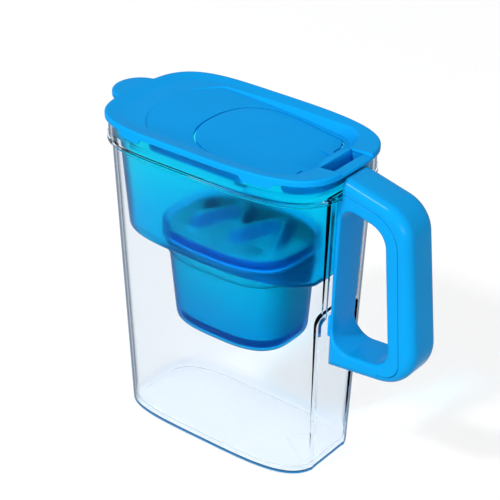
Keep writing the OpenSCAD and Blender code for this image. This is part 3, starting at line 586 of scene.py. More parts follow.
GRIP_CENTRE = np.array([112.0, 155.0])  # a point inside the finger window, X and Z
HANDLE_GAP = 0.4        # between the spine and its channel, and over the tongue
COLLAR_GAP = 0.3        # between the handle and the jug's bead
FOOT_RISE = 7.6         # from the foot at the jug to the outer corner
TOP_DROP = 12.7         # from the rim down to the outer corner at the top
BACK_LEAN = 0.0875      # the back leans in by this for each millimetre of height
FOOT_SLOPE, TOP_SLOPE = 0.105, 0.246        # fall and rise of the lower and upper edge to the jug
WINDOW_LOW, WINDOW_HIGH = 15, 19.8          # over the foot, and under the rim
WINDOW_FRONT, WINDOW_REAR = -5.8, 39.8      # from the mouth's end
WINDOW_LEANS = (0.059, 0.0617)              # lean of its two upright sides, towards each other
WINDOW_R = [14, 14, 15, 9]
PART_LINE = 9           # from the window to the parting line
PART_FRONT, PART_REAR, PART_SLOPE = 61.7, 128.1, 0.21
PARTING_R = [0, 0, 0, 13, 24, 0]
GROOVE_R = 0.45         # rounding of the edges along the parting line
TONGUE_H, TONGUE_DEPTH, TONGUE_HALF_W = 17.6, 6, 9


def handle_lines(j, h):
    """Outlines in X and Z: the whole handle, its finger window, and the parting line grown by d."""
    rim = shells(j).rim
    foot = np.array([j.mouth_rear + h.reach, h.foot_z + FOOT_RISE])
    top = rim - TOP_DROP
    shoulder = np.array([foot[0] - (top - foot[1]) * BACK_LEAN, top])
    front, crest = (channel_at(j, z) + HANDLE_GAP for z in (h.foot_z, rim))
    whole = rounded([(front, foot[1] - FOOT_SLOPE * (foot[0] - front)), foot, shoulder,
                     (crest, top + TOP_SLOPE * (shoulder[0] - crest))], [1, h.foot_r, h.top_r, 0.5], 24)
    low, high = h.foot_z + WINDOW_LOW, rim - WINDOW_HIGH
    x0, x1 = j.mouth_rear + WINDOW_FRONT, j.mouth_rear + WINDOW_REAR
    lean0, lean1 = (lean * (high - low) for lean in WINDOW_LEANS)
    fall = TOP_SLOPE * (x1 - lean1 - x0 - lean0)
    window = rounded([(x0, low), (x1, low + 3), (x1 - lean1, high - fall), (x0 + lean0, high)],
                     WINDOW_R, 16)

    def parting(d):
        """The parting line, which is closed far in front of the handle and below it."""
        side, end = x1 + PART_LINE + d, PART_REAR + d
        rise = PART_SLOPE * (x1 + PART_LINE - lean1 - PART_FRONT)
        return rounded([(PART_FRONT, low - 55), (end, low - 55), (end, low - 4 - d), (side, low - 2 - d),
                        (side - lean1, high + d), (PART_FRONT, high + rise + d)], PARTING_R, 16)

    return whole, window, parting


def clearance(theta, lines):
    """Distance from the grip's centre, in the directions theta, to upright and level lines that
    keep the collar free: x from the first value up, z below the second."""
    hook_x, neck_z = lines
    c, s = np.cos(theta), np.sin(theta)
    to_x = np.where(c < -1e-6, (hook_x - GRIP_CENTRE[0]) / np.minimum(c, -1e-6), 1e6)
    to_z = np.where(s > 1e-6, (neck_z - GRIP_CENTRE[1]) / np.maximum(s, 1e-6), 1e6)
    return np.maximum(to_x, to_z)


def distance_to(outline, points):
    """Distance of points from a closed outline: the least over its straight stretches."""
    a = outline
    b = np.roll(outline, -1, 0) - a
    size = np.maximum((b * b).sum(1), 1e-9)
    gap = points[:, None, :] - a[None]
    along = np.clip((gap * b[None]).sum(2) / size, 0, 1)
    return np.sqrt(((gap - along[..., None] * b[None]) ** 2).sum(2).min(1))


def edge_fall(d, r):
    """How much a quarter round of radius r takes off at the distance d from the edge."""
    inside = np.clip(r - d, 0, r)
    return r - np.sqrt(np.maximum(r * r - inside * inside, 0))


def handle_part(theta, inner, outer, whole, soft_lines, half_w, edge_r):
    """Sections across the handle in the directions theta, from inner to outer, with more points
    towards both ends. Its half-width is half_w less the quarter rounds along the whole outline and
    along each (line, radius)."""
    a, b = np.linspace(0, math.pi / 2, 9), np.linspace(0, math.pi / 2, 15)
    share = np.concatenate([0.1 * (1 - np.cos(a)), np.linspace(0.1, 0.55, 7)[1:],
                            1 - 0.45 * (1 - np.sin(b))[1:]])
    r = inner[:, None] + (outer - inner)[:, None] * share[None, :]
    plan = GRIP_CENTRE + r[..., None] * np.stack([np.cos(theta), np.sin(theta)], 1)[:, None, :]
    flat = plan.reshape(-1, 2)
    half = half_w - edge_fall(distance_to(whole, flat), edge_r)
    for line, radius in soft_lines:
        half = half - edge_fall(distance_to(line, flat), radius)
    half = half.reshape(r.shape)
    near, far = (np.stack([plan[..., 0], side, plan[..., 1]], -1) for side in (-half, half))
    return np.concatenate([near, far[:, ::-1]], 1)


def make_handle(j, h, frame_material, cover_material):
    """The inner half with the finger window and the tongue, and the outer shell of the handle."""
    whole, window, parting = handle_lines(j, h)
    half = h.width / 2
    hook_x, neck_z = j.mouth_rear + j.bead_out + COLLAR_GAP, shells(j).neck_z - COLLAR_GAP
    theta = np.linspace(-math.pi, math.pi, 361)[:-1]
    outline = np.minimum(radius_about(whole, GRIP_CENTRE, theta), clearance(theta, (hook_x, neck_z)))
    edge = np.minimum(outline, radius_about(parting(0), GRIP_CENTRE, theta))
    hole = radius_about(window, GRIP_CENTRE, theta)
    ring = handle_part(theta, hole, edge, whole, [(window, h.window_r), (parting(0), GROOVE_R)],
                       half, h.edge_r)
    top = j.panel_top - HANDLE_GAP
    x0, x1 = j.panel_x + 0.2, j.panel_x + TONGUE_DEPTH
    tongue = rounded([(x0, top - TONGUE_H), (x1, top - TONGUE_H), (x1, top), (x0, top)],
                     [1, 0.2, 0.2, 1], 3)
    tongue[:, 0] += tongue[:, 1] * PANEL_LEAN
    parts = [patch(ring, "loop"), prism(tongue, -TONGUE_HALF_W, TONGUE_HALF_W)]
    inner_half = skin("handle_inner", parts, frame_material)

    def cover_limits(theta):
        """Where the outer shell starts and ends in the directions theta."""
        end = np.minimum(radius_about(whole, GRIP_CENTRE, theta), clearance(theta, (hook_x, 0)))
        return radius_about(parting(h.part_gap), GRIP_CENTRE, theta), end

    fine = np.linspace(-math.pi, math.pi, 7201)
    start, end = cover_limits(fine)
    open_part = fine[end > start + 0.02]
    theta = np.linspace(open_part.min(), open_part.max(), 320)
    start, end = cover_limits(theta)
    ring = handle_part(theta, np.minimum(start, end), end, whole, [(parting(h.part_gap), GROOVE_R)],
                       half, h.edge_r)
    cover = skin("handle_outer", [patch(ring, "flat")], cover_material)
    return inner_half, cover


# ---- reservoir ----------------------------------------------------------------------------

TANK_SIDE_GAP = 0.8          # between the tank and the jug's wall at the sides
TANK_REAR_GAPS = (2.6, 3.4)  # and at the handle end, at the tank's floor and at the neck
TANK_R, DECK_R = 2.5, 3      # rounding between the tank's floor and its side, outside and inside
SLEEVE_R = 4                 # rounding of the sleeve's foot
HOLE_R = 2.5                 # outlet holes in the sleeve's floor
HOLES = [(x, y) for x in (-22, -11, 0, 11, 22) for y in (-11, 0, 11)]
FLANGE = ((0.2, 0), (0, 0.2), (0, 1.0), (0.2, 1.2))  # its profile as (inset, height)


def tank_shapes(j, r):
    """Outlines of the reservoir: the tank by height, the sleeve by height, and the nest."""
    s = shells(j)
    front = j.wall + r.pour_gap - 1
    side = j.wall + TANK_SIDE_GAP

    def inside(wall, rear_gap, squareness):
        """The jug's outline, drawn in by the tank's gaps."""
        return np.array([wall[0], wall[1] - front, wall[2] - j.wall - rear_gap, wall[3] - side,
                         squareness, squareness])

    low = inside(wall_at(s, r.under_z), TANK_REAR_GAPS[0], 3)
    high = inside(s.neck, TANK_REAR_GAPS[1], 3.4)
    top = np.array([r.sleeve_x, r.sleeve_half_l - r.sleeve_x, r.sleeve_half_l + r.sleeve_x,
                    r.sleeve_half_w, 3, 3])
    depth = r.under_z - SLEEVE_FOOT * 1000

    def tank(z):
        """The tank's outline, straight from its floor to the neck."""
        return low + (high - low) * (z - r.under_z) / (s.neck_z - r.under_z)

    def sleeve(z):
        """The sleeve's outline: it narrows evenly downwards, and by the step over 0.8 mm."""
        step = r.step * smooth((r.under_z - r.step_drop + 0.2 - z) / 0.8)
        return inset(top, r.sleeve_draft * (r.under_z - z) / depth + step)

    return SimpleNamespace(tank=tank, sleeve=sleeve, nest=inset(s.mouth, j.wall + NEST_GAP),
                           front=high[1], top=top, shell=s)


def cut_loop(outline, z, front=400.0, rear=400.0, n=360):
    """A level loop of the outline, flattened where it would pass front or rear."""
    points = superellipse(outline, directions(n))
    if rear < 400:
        points[:, 0] = soft_min(points[:, 0], rear, 1.2)
    points[:, 0] = np.maximum(points[:, 0], -front)
    return at_height(points, z)


def make_reservoir(j, r, material):
    """The tinted reservoir: rings up the outside from the sleeve's foot, and down the inside."""
    f = tank_shapes(j, r)
    s = f.shell
    w = r.wall
    foot = SLEEVE_FOOT * 1000
    step_z = r.under_z - r.step_drop
    deck = r.under_z + r.floor
    bead_top = s.neck_z + j.bead_h
    flange = s.rim + 0.3

    def back(z):
        """Where the tank ends before the channel of the spine."""
        return channel_at(j, z) - j.wall - 3

    def tank(z, d):
        """A ring of the tank, d inside its outside."""
        return cut_loop(inset(f.tank(z), d), z, rear=back(z) - d)

    def fillet(z, d, radius, outline, rear=400.0):
        """Rings of a quarter round from a floor at z up to the outline, which lies d in."""
        return [cut_loop(inset(outline, d + out), z + up, rear=rear - d - out)
                for out, up in bowl(radius, 8)]

    rings = [cut_loop(inset(f.sleeve(foot), 20), foot)]
    rings += fillet(foot, 0, SLEEVE_R, f.sleeve(foot))
    rings += [cut_loop(f.sleeve(z), z) for z in
              [foot + 5, *np.linspace(foot + 10, step_z - 1.2, 8),
               *np.linspace(step_z - 0.6, step_z + 0.2, 5), step_z + 1, r.under_z - 0.6]]
    rings += [cut_loop(inset(f.sleeve(r.under_z), -0.6), r.under_z)]
    rings += fillet(r.under_z, 0, TANK_R, f.tank(r.under_z), back(r.under_z))
    rings += [tank(z, 0) for z in np.linspace(r.under_z + 3, bead_top, 14)]
    rings += [cut_loop(f.nest, z, front=f.front) for z in (bead_top + 2, s.rim - 0.4)]
    rings += [cut_loop(inset(s.mouth, d), flange + up, front=f.front + 0.8) for d, up in FLANGE]
    rings += [cut_loop(inset(f.nest, w + d), z, front=f.front - w) for d, z in
              ((-0.3, flange + 1.2), (0, flange + 0.9), (0, bead_top + 3.5))]
    rings += [tank(z, w) for z in np.linspace(bead_top + 1.5, deck + 3.2, 14)]
    rings += fillet(deck, w, DECK_R, f.tank(r.under_z + 1), back(r.under_z))[::-1]
    rings += [cut_loop(inset(f.top, d), deck + up) for d, up in
              ((-2.1, 0.1), (-2.0, 2.0), (-1.9, r.collar_h - 0.4), (-1.7, r.collar_h),
               (-1.2, r.collar_h), (-1.0, r.collar_h - 0.4), (-1.0, 0.3))]
    rings += [cut_loop(inset(f.sleeve(r.under_z), w - d), deck - down) for d, down in
              ((0.8, 0), (0.2, 0.25))]
    rings += [cut_loop(inset(f.sleeve(z), w), z) for z in
              [deck - 1, *np.linspace(step_z + 0.2, step_z - 0.6, 5),
               *np.linspace(step_z - 3, foot + 5, 8)]]
    rings += fillet(foot + r.floor, w, DECK_R, f.sleeve(foot))[::-1]
    piece = skin("reservoir_shell", [patch(rings)], material, 50)
    holes = [prism(circle(r.sleeve_x + x, y, HOLE_R), foot - 1, foot + 4, 2) for x, y in HOLES]
    carve(piece, skin("holes", holes, material), 50)
    return piece


# ---- cartridge ----------------------------------------------------------------------------

CAP_INSET = 1.8                        # from the sleeve's top to the cap's edge
CAP_DOME, CAP_WALL = 1.6, 1.6
WAVE_START, GRIP_HALF_W = 15, 9        # where the wave turns, and half the width of its ridge
SLOT_GROUPS = ((31.5, -25), (15, 16))  # places of the inlet slots


def cartridge_levels(r, c):
    """Heights of the cartridge's foot and of the top of its flange."""
    return SLEEVE_FOOT * 1000 + c.rise, r.under_z + r.floor + 0.1 + c.seal + c.flange


def make_housing(j, r, c, material):
    """The cartridge's housing: an open shell that follows the sleeve inside a small gap."""
    f = tank_shapes(j, r)
    foot, top = cartridge_levels(r, c)
    step_z = r.under_z - r.step_drop

    def shell(z, d):
        """A ring of the housing, d inside its outside."""
        return cut_loop(inset(f.sleeve(min(z, r.under_z)), r.wall + NEST_GAP + d), z)

    walls = [*np.linspace(foot + 1.6, step_z - 2, 8), *np.linspace(step_z - 0.8, step_z + 0.4, 5),
             top - c.flange - 0.2]
    rings = [shell(foot + up, d) for d, up in bowl(1.2, 5)]
    rings += [shell(z, 0) for z in walls]
    rings += [cut_loop(inset(f.top, d), z) for d, z in
              ((-0.3, top - c.flange), (-0.6, top - c.flange + 0.3), (-0.6, top - 0.3), (-0.3, top))]
    rings += [shell(z, c.wall) for z in [top, *(z for z in walls[::-1] if z > foot + 3), foot + 1.5]]
    rings += [shell(z, c.wall + 3) for z in (foot + 1.5, foot)]
    return skin("cartridge_shell", [patch(rings, "loop")], material, 50)


def make_cap(j, r, c, material):
    """The domed cap. Over its rim it rises by edge * (dome + grip * exp(-|(y - wave) / 9|^3)): the
    wave swings to both sides as a cosine along the cap, edge falls to 0 at the rim as 1 - share^8,
    and the grip fades out towards both ends."""
    outline = inset(tank_shapes(j, r).top, CAP_INSET)
    low = cartridge_levels(r, c)[1] + 0.1
    middle = np.array([r.sleeve_x, 0])

    def ring(share, drop):
        """A ring at a share of the way from the middle to the rim, lowered by drop."""
        plan = (superellipse(outline, directions(240)) - middle) * share + middle
        wave = -c.grip_swing * np.cos(2 * math.pi * (plan[:, 0] - WAVE_START) / c.grip_pitch)
        ends = smooth((46 - np.abs(plan[:, 0] - r.sleeve_x)) / 16)
        grip = c.grip_h * np.exp(-(np.abs(plan[:, 1] - wave) / GRIP_HALF_W) ** 3) * ends
        return at_height(plan, low + c.cap_rim + (1 - share ** 8) * (CAP_DOME + grip) - drop)

    rings = [ring(share, CAP_WALL) for share in np.linspace(0.02, 0.94, 24)]
    rings += [cut_loop(inset(outline, d), low, n=240) for d in (2, 0)]
    rings += [ring(share, 0) for share in [1, 0.995, *np.linspace(0.985, 0.02, 50)]]
    piece = skin("cartridge_top", [patch(rings)], material, 50)
    slots = [block((x + k, y, low), (x + k + 1.6, y + 9, low + 20), 0.1)
             for x, y in SLOT_GROUPS for k in (-4.5, 0, 4.5)]
    carve(piece, skin("slots", slots, material), 50)
    return piece


# ---- lid ----------------------------------------------------------------------------------

PLATE_RISE, SKIRT_RISE = 1.8, 0.5  # the plate's underside and the skirt's foot, over the jug's rim
BAND_SHARE = 0.2                   # the top falls to its band over this share of the way in
WALL_SLOPE = 0.45                  # run of the recess's wall for each millimetre of its depth
LID_MIDDLE = np.array([15.0, 0.0])
SKIRT_WALL = 1.3
LOBES = ((-56, -34), (44, 70))     # stretches along X of the skirt's lobes
LOBE_SIDE = 19                     # they lie further from the middle than this
CRESCENT_TURN = 50.5               # degrees from the recess's tip to the end of its crescent
RECESS_CORNER = 23                 # length of the round corners at the recess's handle end
BOW, BOW_MIDDLE, BOW_REACH = 2.6, 15, 56  # the recess's sides pull in by BOW, BOW_REACH off the middle
FLAP_MIDDLE, FLAP_POWER = 17.0, 2.35      # where the flap is widest, and its squareness in front
PLUGS = ((-32, 45), (70, 110))     # stretches along X of the plug skirt
PLUG_DROP, PLUG_WALL, PLUG_END_R = 7.6, 1.4, 3.0
LEDGE_X = (5, 63.5)                # the ledge under the flap, along X
LEDGE_IN, LEDGE_OUT, LEDGE_T = 3.2, 1.6, 1.2
BEARING_Y, BEARING_DROP = (35.6, 39.6), 4.4  # the blocks under the flap's pins
# Along X: the front of the notch's floor, the front and rear of its slots, and its rear wall.
NOTCH_FRONT, SLOT_FRONT, SLOT_REAR, NOTCH_REAR = 77.8, 82.5, 87.5, 90.6
RIB_HALF_W, SLOT_END, NOTCH_WALL = 1.2, 12, 1.5
LIP_R = 0.9


def lid_heights(j, l):
    """Levels of the lid: its top, its band at the recess, its plate's underside, its skirt."""
    s = shells(j)
    top = LID_TOP * 1000
    return SimpleNamespace(shell=s, top=top, band=top - l.band_fall, notch=top - l.notch_drop,
                           lean=l.recess_depth / (l.recess_rear + l.recess_front),
                           plate=s.rim + PLATE_RISE, skirt=s.rim + SKIRT_RISE,
                           edge=inset(s.mouth, -l.out))


def floor_at(l, v, x):
    """The recess floor, a plane that falls towards the handle."""
    return v.band - (x + l.recess_front) * v.lean


def band_at(l, v, plan):
    """The top's height: level at the edge, falling to the band over BAND_SHARE of the way in."""
    x0, front, rear, half, n0, n1 = v.edge
    x, y = plan[..., 0], plan[..., 1]
    n = np.where(x < x0, n0, n1)
    reach = np.where(x < x0, front + x0, rear - x0)
    share = (np.abs((x - x0) / reach) ** n + np.abs(y / half) ** n) ** (1 / n)
    return v.top - l.band_fall * smooth((1 - share) / BAND_SHARE)


def recess_upper(l):
    """Half of the recess's outline, from the notch: a round corner, a bowed side, the crescent."""
    h = l.recess_half_w
    a = np.radians(np.linspace(180 - CRESCENT_TURN, 180 + CRESCENT_TURN, 90)[:45])
    crescent = l.crescent_r * np.stack([np.cos(a), np.sin(a)], 1) + [l.crescent_r - l.recess_front, 0]
    corner = l.recess_rear - RECESS_CORNER
    x = np.linspace(crescent[0, 0] + 0.5, corner, 60)
    side = np.stack([x, h - ((x - BOW_MIDDLE) / BOW_REACH) ** 2 * BOW], 1)
    a = np.linspace(0, math.pi / 2, 40)[1:]
    w = h - 1.4 - l.notch_half_w
    bend = np.stack([corner + RECESS_CORNER * np.sin(a), l.notch_half_w + w * np.cos(a) ** 0.8], 1)
    return np.vstack([bend[::-1], side[::-1], crescent])


def flap_upper(f, d):
    """The upper half of the flap's outline grown by d: a superellipse of power FLAP_POWER at the
    spout, tapering sides and rounded corners at the handle."""
    power = 2 / FLAP_POWER
    a = np.linspace(math.pi, math.pi / 2, 60)
    front = np.stack([FLAP_MIDDLE - (f.front + FLAP_MIDDLE + d) * np.abs(np.cos(a)) ** power,
                      (f.half_w + d) * np.sin(a) ** power], 1)
    rear = rounded([(FLAP_MIDDLE, f.half_w + d), (FLAP_MIDDLE + 6, f.half_w + d),
                    (f.rear - 3.5 + d, 32.6 + d), (f.rear + d, 24 + d), (f.rear + d, 0)],
                   [0, 30, 6.5, 5, 0], 16)
    return np.vstack([front, rear[1:-1]])


def lid_edge(l, v):
    """Half of the lid's outer edge, from the notch's side to the tip of the tab: the superellipse
    until it meets the tab's circle, and then the circle."""
    t = np.linspace(0, math.pi, 4001)
    line = superellipse(v.edge, t)
    start = np.argmax(line[:, 1] >= l.notch_half_w)
    gap = np.hypot(line[:, 0] + l.tab_x, line[:, 1]) - l.tab_r
    stop = np.argmax((line[:, 0] < -l.tab_x + 10) & (gap < 0))
    body = line[start:stop]
    body[0, 1] = l.notch_half_w
    a0 = math.atan2(body[-1, 1], body[-1, 0] + l.tab_x)
    a = np.linspace(a0, math.pi, 46)[1:]
    tab = np.stack([l.tab_r * np.cos(a) - l.tab_x, l.tab_r * np.sin(a)], 1)
    return np.vstack([resampled(body, 210), tab])


def follow(line, phi, phi0):
    """Points of a line round the lid in the directions phi, moved so that phi0 meets its start."""
    angle = np.arctan2(line[:, 1], line[:, 0] - LID_MIDDLE[0])
    shift = (angle[0] - phi0) * (1 - smooth((phi - phi0) / 0.9))
    want = phi + shift
    return np.stack([np.interp(want, angle, line[:, k]) for k in (0, 1)], 1)


def lobe_drop(x, height):
    """How far the skirt's lobes run down at x, with S-shaped flanks."""
    return height * sum(smooth((x - a) / 4) * smooth((b - x) / 4) for a, b in LOBES)


def lid_lines(l, f, v):
    """Three lines with points in the same directions: the lid's outer edge, the edge of the recess
    and that of the hole. Each runs from one side of the notch round the tab to its other side."""
    outer = lid_edge(l, v)
    phi = np.arctan2(outer[:, 1], outer[:, 0] - LID_MIDDLE[0])
    rim = np.vstack([[l.recess_rear, l.notch_half_w], recess_upper(l), [-l.recess_front, 0]])
    hole = flap_upper(f, f.gap)
    hole = hole[hole[:, 1] >= l.notch_half_w * (hole[:, 0] > 40)][::-1]
    hole = np.vstack([[f.rear + f.gap, l.notch_half_w], hole, [-f.front - f.gap, 0]])
    lines = outer, follow(rim, phi, phi[0]), follow(hole, phi, phi[0])
    return [np.vstack([line, line[-2::-1] * [1, -1]]) for line in lines]


def lid_columns(l, f, v):
    """The main shell as closed sections, one from the edge to the hole at each step round it. Its
    top is the lower of the band and the recess's wall, which falls by back / slope, or the recess's
    floor where that is higher, with both crossings rounded."""
    outer, edge, inner = lid_lines(l, f, v)
    side = left_of(np.gradient(outer, axis=0))
    side[0] = side[-1] = [-1, 0]
    run = np.linalg.norm(inner - edge, axis=1)
    way = (inner - edge) / run[:, None]
    depth = v.band - floor_at(l, v, edge[:, 0])
    slope = WALL_SLOPE * np.linalg.norm(edge - LID_MIDDLE, axis=1) / l.recess_half_w
    foot = np.minimum(slope * depth, run - 0.4)
    skirt = v.skirt - lobe_drop(outer[:, 0], l.lobe_h) * (np.abs(outer[:, 1]) > LOBE_SIDE)
    softness = np.clip(depth * 0.5, 0.02, 0.9)

    def top_at(plan, back):
        """Height of the top surface at a distance back from the recess edge, inwards."""
        wall = v.band - back / np.maximum(slope, 0.05)
        high = soft_min(band_at(l, v, plan), wall, softness)
        return -soft_min(-high, -floor_at(l, v, plan[:, 0]), softness)

    # Up the skirt, round the edge and over the band.
    rows = [(outer + side * 0.25, skirt), (outer, skirt + 0.3)]
    rows += [(outer, skirt + (v.top - l.edge_r - skirt) * share) for share in (0.35, 0.7, 0.95)]
    rows += [(outer + side * d, v.top + up) for d, up in quarter(l.edge_r, 8)]
    start, stop = outer + side * l.edge_r, edge - way * 1.4
    for share in np.linspace(0.08, 1, 12):
        plan = start + (stop - start) * share
        rows.append((plan, band_at(l, v, plan)))
    # Round the recess's edge, down its wall and over its floor to the hole.
    for back in (-0.9, -0.5, -0.25, 0, 0.2, 0.45):
        plan = edge + way * np.minimum(back, run - 0.4)[:, None]
        rows.append((plan, top_at(plan, back)))
    backs = [foot * share for share in (0.4, 0.6, 0.8, 0.9, 1.0, 1.1, 1.25)]
    backs += [foot + 1.4 + (run - 0.35 - foot - 1.4) * share for share in (0, *np.linspace(0.12, 1, 9))]
    for back in backs:
        back = np.clip(back, 0.5, run - 0.35)
        plan = edge + way * back[:, None]
        rows.append((plan, top_at(plan, back)))
    # Down the hole's edge, and back under the plate to the inside of the skirt.
    low = floor_at(l, v, inner[:, 0])
    rows += [(inner - way * d, low - drop) for d, drop in
             ((0.15, 0.02), (0.04, 0.1), (0, 0.28), (0, l.wall))]
    under = edge + way * np.minimum(foot * 0.4, run)[:, None]
    rows += [(under, floor_at(l, v, under[:, 0]) - l.wall),
             (edge - way * 1.9, np.minimum(v.plate, v.band - l.wall))]
    inside = outer + side * SKIRT_WALL
    rows += [(inside + side * 0.4, v.plate), (inside, v.plate - 0.3), (inside, skirt + 0.3),
             (inside - side * 0.25, skirt)]
    return rail(rows)


def lid_lip(l, v):
    """Sections of the low lip behind the notch, with the sloped rear wall of the notch."""
    top, low = v.top - l.lip_drop, v.notch - l.wall
    foot = NOTCH_REAR - 2
    rings = []
    for y in np.linspace(-l.notch_half_w, l.notch_half_w, 41):
        x = float(x_of(v.edge, y, 1))
        wall = [(x - 0.25, v.skirt), (x, v.skirt + 0.3), (x, top - LIP_R)]
        edge = [(x - d, top + up) for d, up in quarter(LIP_R, 6)]
        rest = [(NOTCH_REAR + 0.2, top), (NOTCH_REAR - 0.1, top - 0.08), (NOTCH_REAR - 0.3, top - 0.3),
                (foot + 0.1, v.notch + 4.1), (foot, v.notch + 3.7), (foot, low), (NOTCH_REAR, low),
                (NOTCH_REAR, v.plate - 1), (x - SKIRT_WALL, v.plate - 1), (x - SKIRT_WALL, v.skirt)]
        rings.append(np.insert(np.array(wall + edge + rest), 1, y, axis=1))
    return patch(rings, "flat")


def notch_tray(l, v):
    """Floor of the thumb notch with its two slots, the rib between them, and the side walls. The
    blocks reach a little into each other."""
    w, low, top = l.notch_half_w, v.notch - l.wall, v.notch
    out = w + NOTCH_WALL
    x0, x1 = SLOT_FRONT - 0.2, SLOT_REAR + 0.2
    return [block((NOTCH_FRONT, -out, low), (SLOT_FRONT, out, top), 0.15),
            block((SLOT_REAR, -out, low), (NOTCH_REAR, out, top), 0.05),
            block((x0, -RIB_HALF_W, low), (x1, RIB_HALF_W, top), 0.05),
            *block_pair((x0, SLOT_END, low), (x1, out, top), 0.05),
            *block_pair((NOTCH_FRONT, w, low - 0.05), (NOTCH_REAR - 0.05, out, v.plate + 0.2), 0.05)]


def plug_skirt(j, r, v):
    """The inner skirt that plugs the reservoir: stretches of a thin wall with rounded lower ends."""
    line = inset(v.shell.mouth, j.wall + NEST_GAP + r.wall + NEST_GAP)
    half = superellipse(line, np.linspace(0, math.pi, 2001))
    top = v.plate + 0.4
    parts = []
    for a, b in PLUGS:
        keep = half[(half[:, 0] >= a) & (half[:, 0] <= b)]
        runs = [keep, keep * [1, -1]]
        if b > line[2]:
            runs = [np.vstack([keep[::-1], keep[1:] * [1, -1]])]
        for run in runs:
            run = resampled(run, 160)
            side = left_of(np.gradient(run, axis=0))
            if side[80] @ run[80] > 0:
                side = -side
            along = lengths_along(run)
            low = v.shell.rim - PLUG_DROP + edge_fall(np.minimum(along, along[-1] - along), PLUG_END_R)
            inner = run + side * PLUG_WALL
            parts.append(rail([(run, low), (run, top), (inner, top), (inner, low)]))
    return parts


def lid_ledge(l, f, v):
    """The ledge under the long sides of the flap, and the blocks under its pins."""
    upper = flap_upper(f, 0)
    upper = upper[(upper[:, 0] > LEDGE_X[0]) & (upper[:, 0] < LEDGE_X[1])]
    parts = []
    for s in (-1, 1):
        run = resampled(upper, 60) * [1, s]
        high = floor_at(l, v, run[:, 0]) - f.thick - 0.2
        low = high - LEDGE_T
        inner, outer = run - [0, LEDGE_IN * s], run + [0, LEDGE_OUT * s]
        parts.append(rail([(inner, high), (outer, high), (outer, low), (inner, low)]))
    low = floor_at(l, v, f.pin_x) - BEARING_DROP
    y0, y1 = BEARING_Y
    return parts + block_pair((f.pin_x - 3.2, y0, low), (f.pin_x + 3.2, y1, low + 2.6), 0.6)


def make_lid(j, l, f, r, material, inner):
    """The lid: its shell with tab, recess, hole and lip, the tray of the thumb notch, and below it
    the plug skirt and the ledge that carries the flap."""
    v = lid_heights(j, l)
    shell = skin("lid_shell", [lid_columns(l, f, v), lid_lip(l, v)], material, 32)
    tray = skin("lid_tray", notch_tray(l, v), material)
    # inner is a darker copy of the lid's colour: painted shade on the plug skirt and the ledge under the
    # lid.
    fittings = skin("lid_fittings", plug_skirt(j, r, v) + lid_ledge(l, f, v), inner)
    return shell, tray, fittings


# ---- flap ---------------------------------------------------------------------------------

FLAP_CENTRE = np.array([25.0, 0.0])
TAIL_GAP = 0.6         # between the flap's tail and the notch's sides
PLATE_R = 0.5          # rounding of the plate's edges
BAR_T, BAR_BOW = 2, 3  # the thumb bar's thickness at its ends, and how far its front bows out
PIN_Y = (30.6, 38.0)   # from the pins' roots to their ends


def flap_outline(l, f):
    """The plate's outline: the flap's own, then a tail through the notch with its corners cut. It is
    a little narrower beside the pins, where the hole is close when the flap stands up."""
    tail, rear = l.notch_half_w - TAIL_GAP, f.bar_rear
    upper = flap_upper(f, 0)
    upper = upper[(upper[:, 1] >= tail) | (upper[:, 0] < 40)]
    end = [[f.rear + 0.02, tail], [rear - 1.5, tail], [rear - 0.45, tail - 0.45], [rear, tail - 1.5],
           [rear, 0]]
    half = np.vstack([resampled(upper, 170), end])
    half[:, 1] -= 0.35 * np.exp(-((half[:, 0] - f.pin_x) / 3.5) ** 2)
    return np.vstack([half, half[-2:0:-1] * [1, -1]])[::-1]


def make_flap(j, l, f, material):
    """The flip lid: a plate with rounded edges, a finger scoop, the thumb bar and two pins. The
    bar's front bows out by BAR_BOW * (1 - (y / half-width)^2)."""
    v = lid_heights(j, l)
    outline = flap_outline(l, f)
    tail, rear = l.notch_half_w - TAIL_GAP, f.bar_rear

    def level(points, drop):
        """A ring at a drop under the recess's floor plane, with which the flap's top is flush."""
        return at_height(points, floor_at(l, v, points[:, 0]) - drop)

    def smaller(share):
        """The outline drawn in towards its centre."""
        return FLAP_CENTRE + (outline - FLAP_CENTRE) * share

    edge = quarter(PLATE_R, 5)
    rings = [level(smaller(0.5), f.thick)]
    rings += [level(inward(outline, d), f.thick + up) for d, up in edge[::-1]]
    rings += [level(inward(outline, d), -up) for d, up in edge]
    rings += [level(smaller(share), 0) for share in (0.9, 0.5)]
    side = f.scoop_half_w + 0.9
    x0, x1 = f.rear - 10, rear - 0.06
    low = floor_at(l, v, rear) - f.thick - 1.6
    pad = prism([(x0, floor_at(l, v, x0) - f.thick - 1.2), (x1, low), (x1, low + 2.5), (x0, low + 3.6)],
                -side, side)
    plate = skin("flap_plate", [patch(rings), pad], material, 32)
    x0, x1 = f.rear - 8.5, rear - BAR_T - BAR_BOW + 0.1
    wedge = prism([(x0, floor_at(l, v, x0) + 0.01), (x1, floor_at(l, v, x1) - f.scoop_depth),
                   (x1, v.top + 3), (x0, v.top + 3)], -f.scoop_half_w, f.scoop_half_w)
    carve(plate, skin("wedge", [wedge], material), 32, crossing=True)

    low = floor_at(l, v, rear) - f.thick - 0.02
    bar = []
    for y in np.linspace(-tail, tail, 41):
        x = rear - BAR_T - BAR_BOW * (1 - (y / tail) ** 2)
        section = rounded([(x, low), (rear, low), (rear, v.band), (x, v.band)], [0.1, 0.1, 0.5, 0.5], 5)
        bar.append(np.insert(section, 1, y, axis=1))
    ridge = block((rear - 1, -tail, v.notch + 0.3), (rear + 1, tail, v.notch + 1.6), 0.3)
    pin = circle(f.pin_x, floor_at(l, v, f.pin_x) - f.pin_drop, f.pin_r)
    pins = [prism(pin, *PIN_Y), prism(pin, -PIN_Y[1], -PIN_Y[0])]
    return plate, skin("flap_bar", [patch(bar, "flat"), ridge, *pins], material)


# ---- materials ----------------------------------------------------------------------------

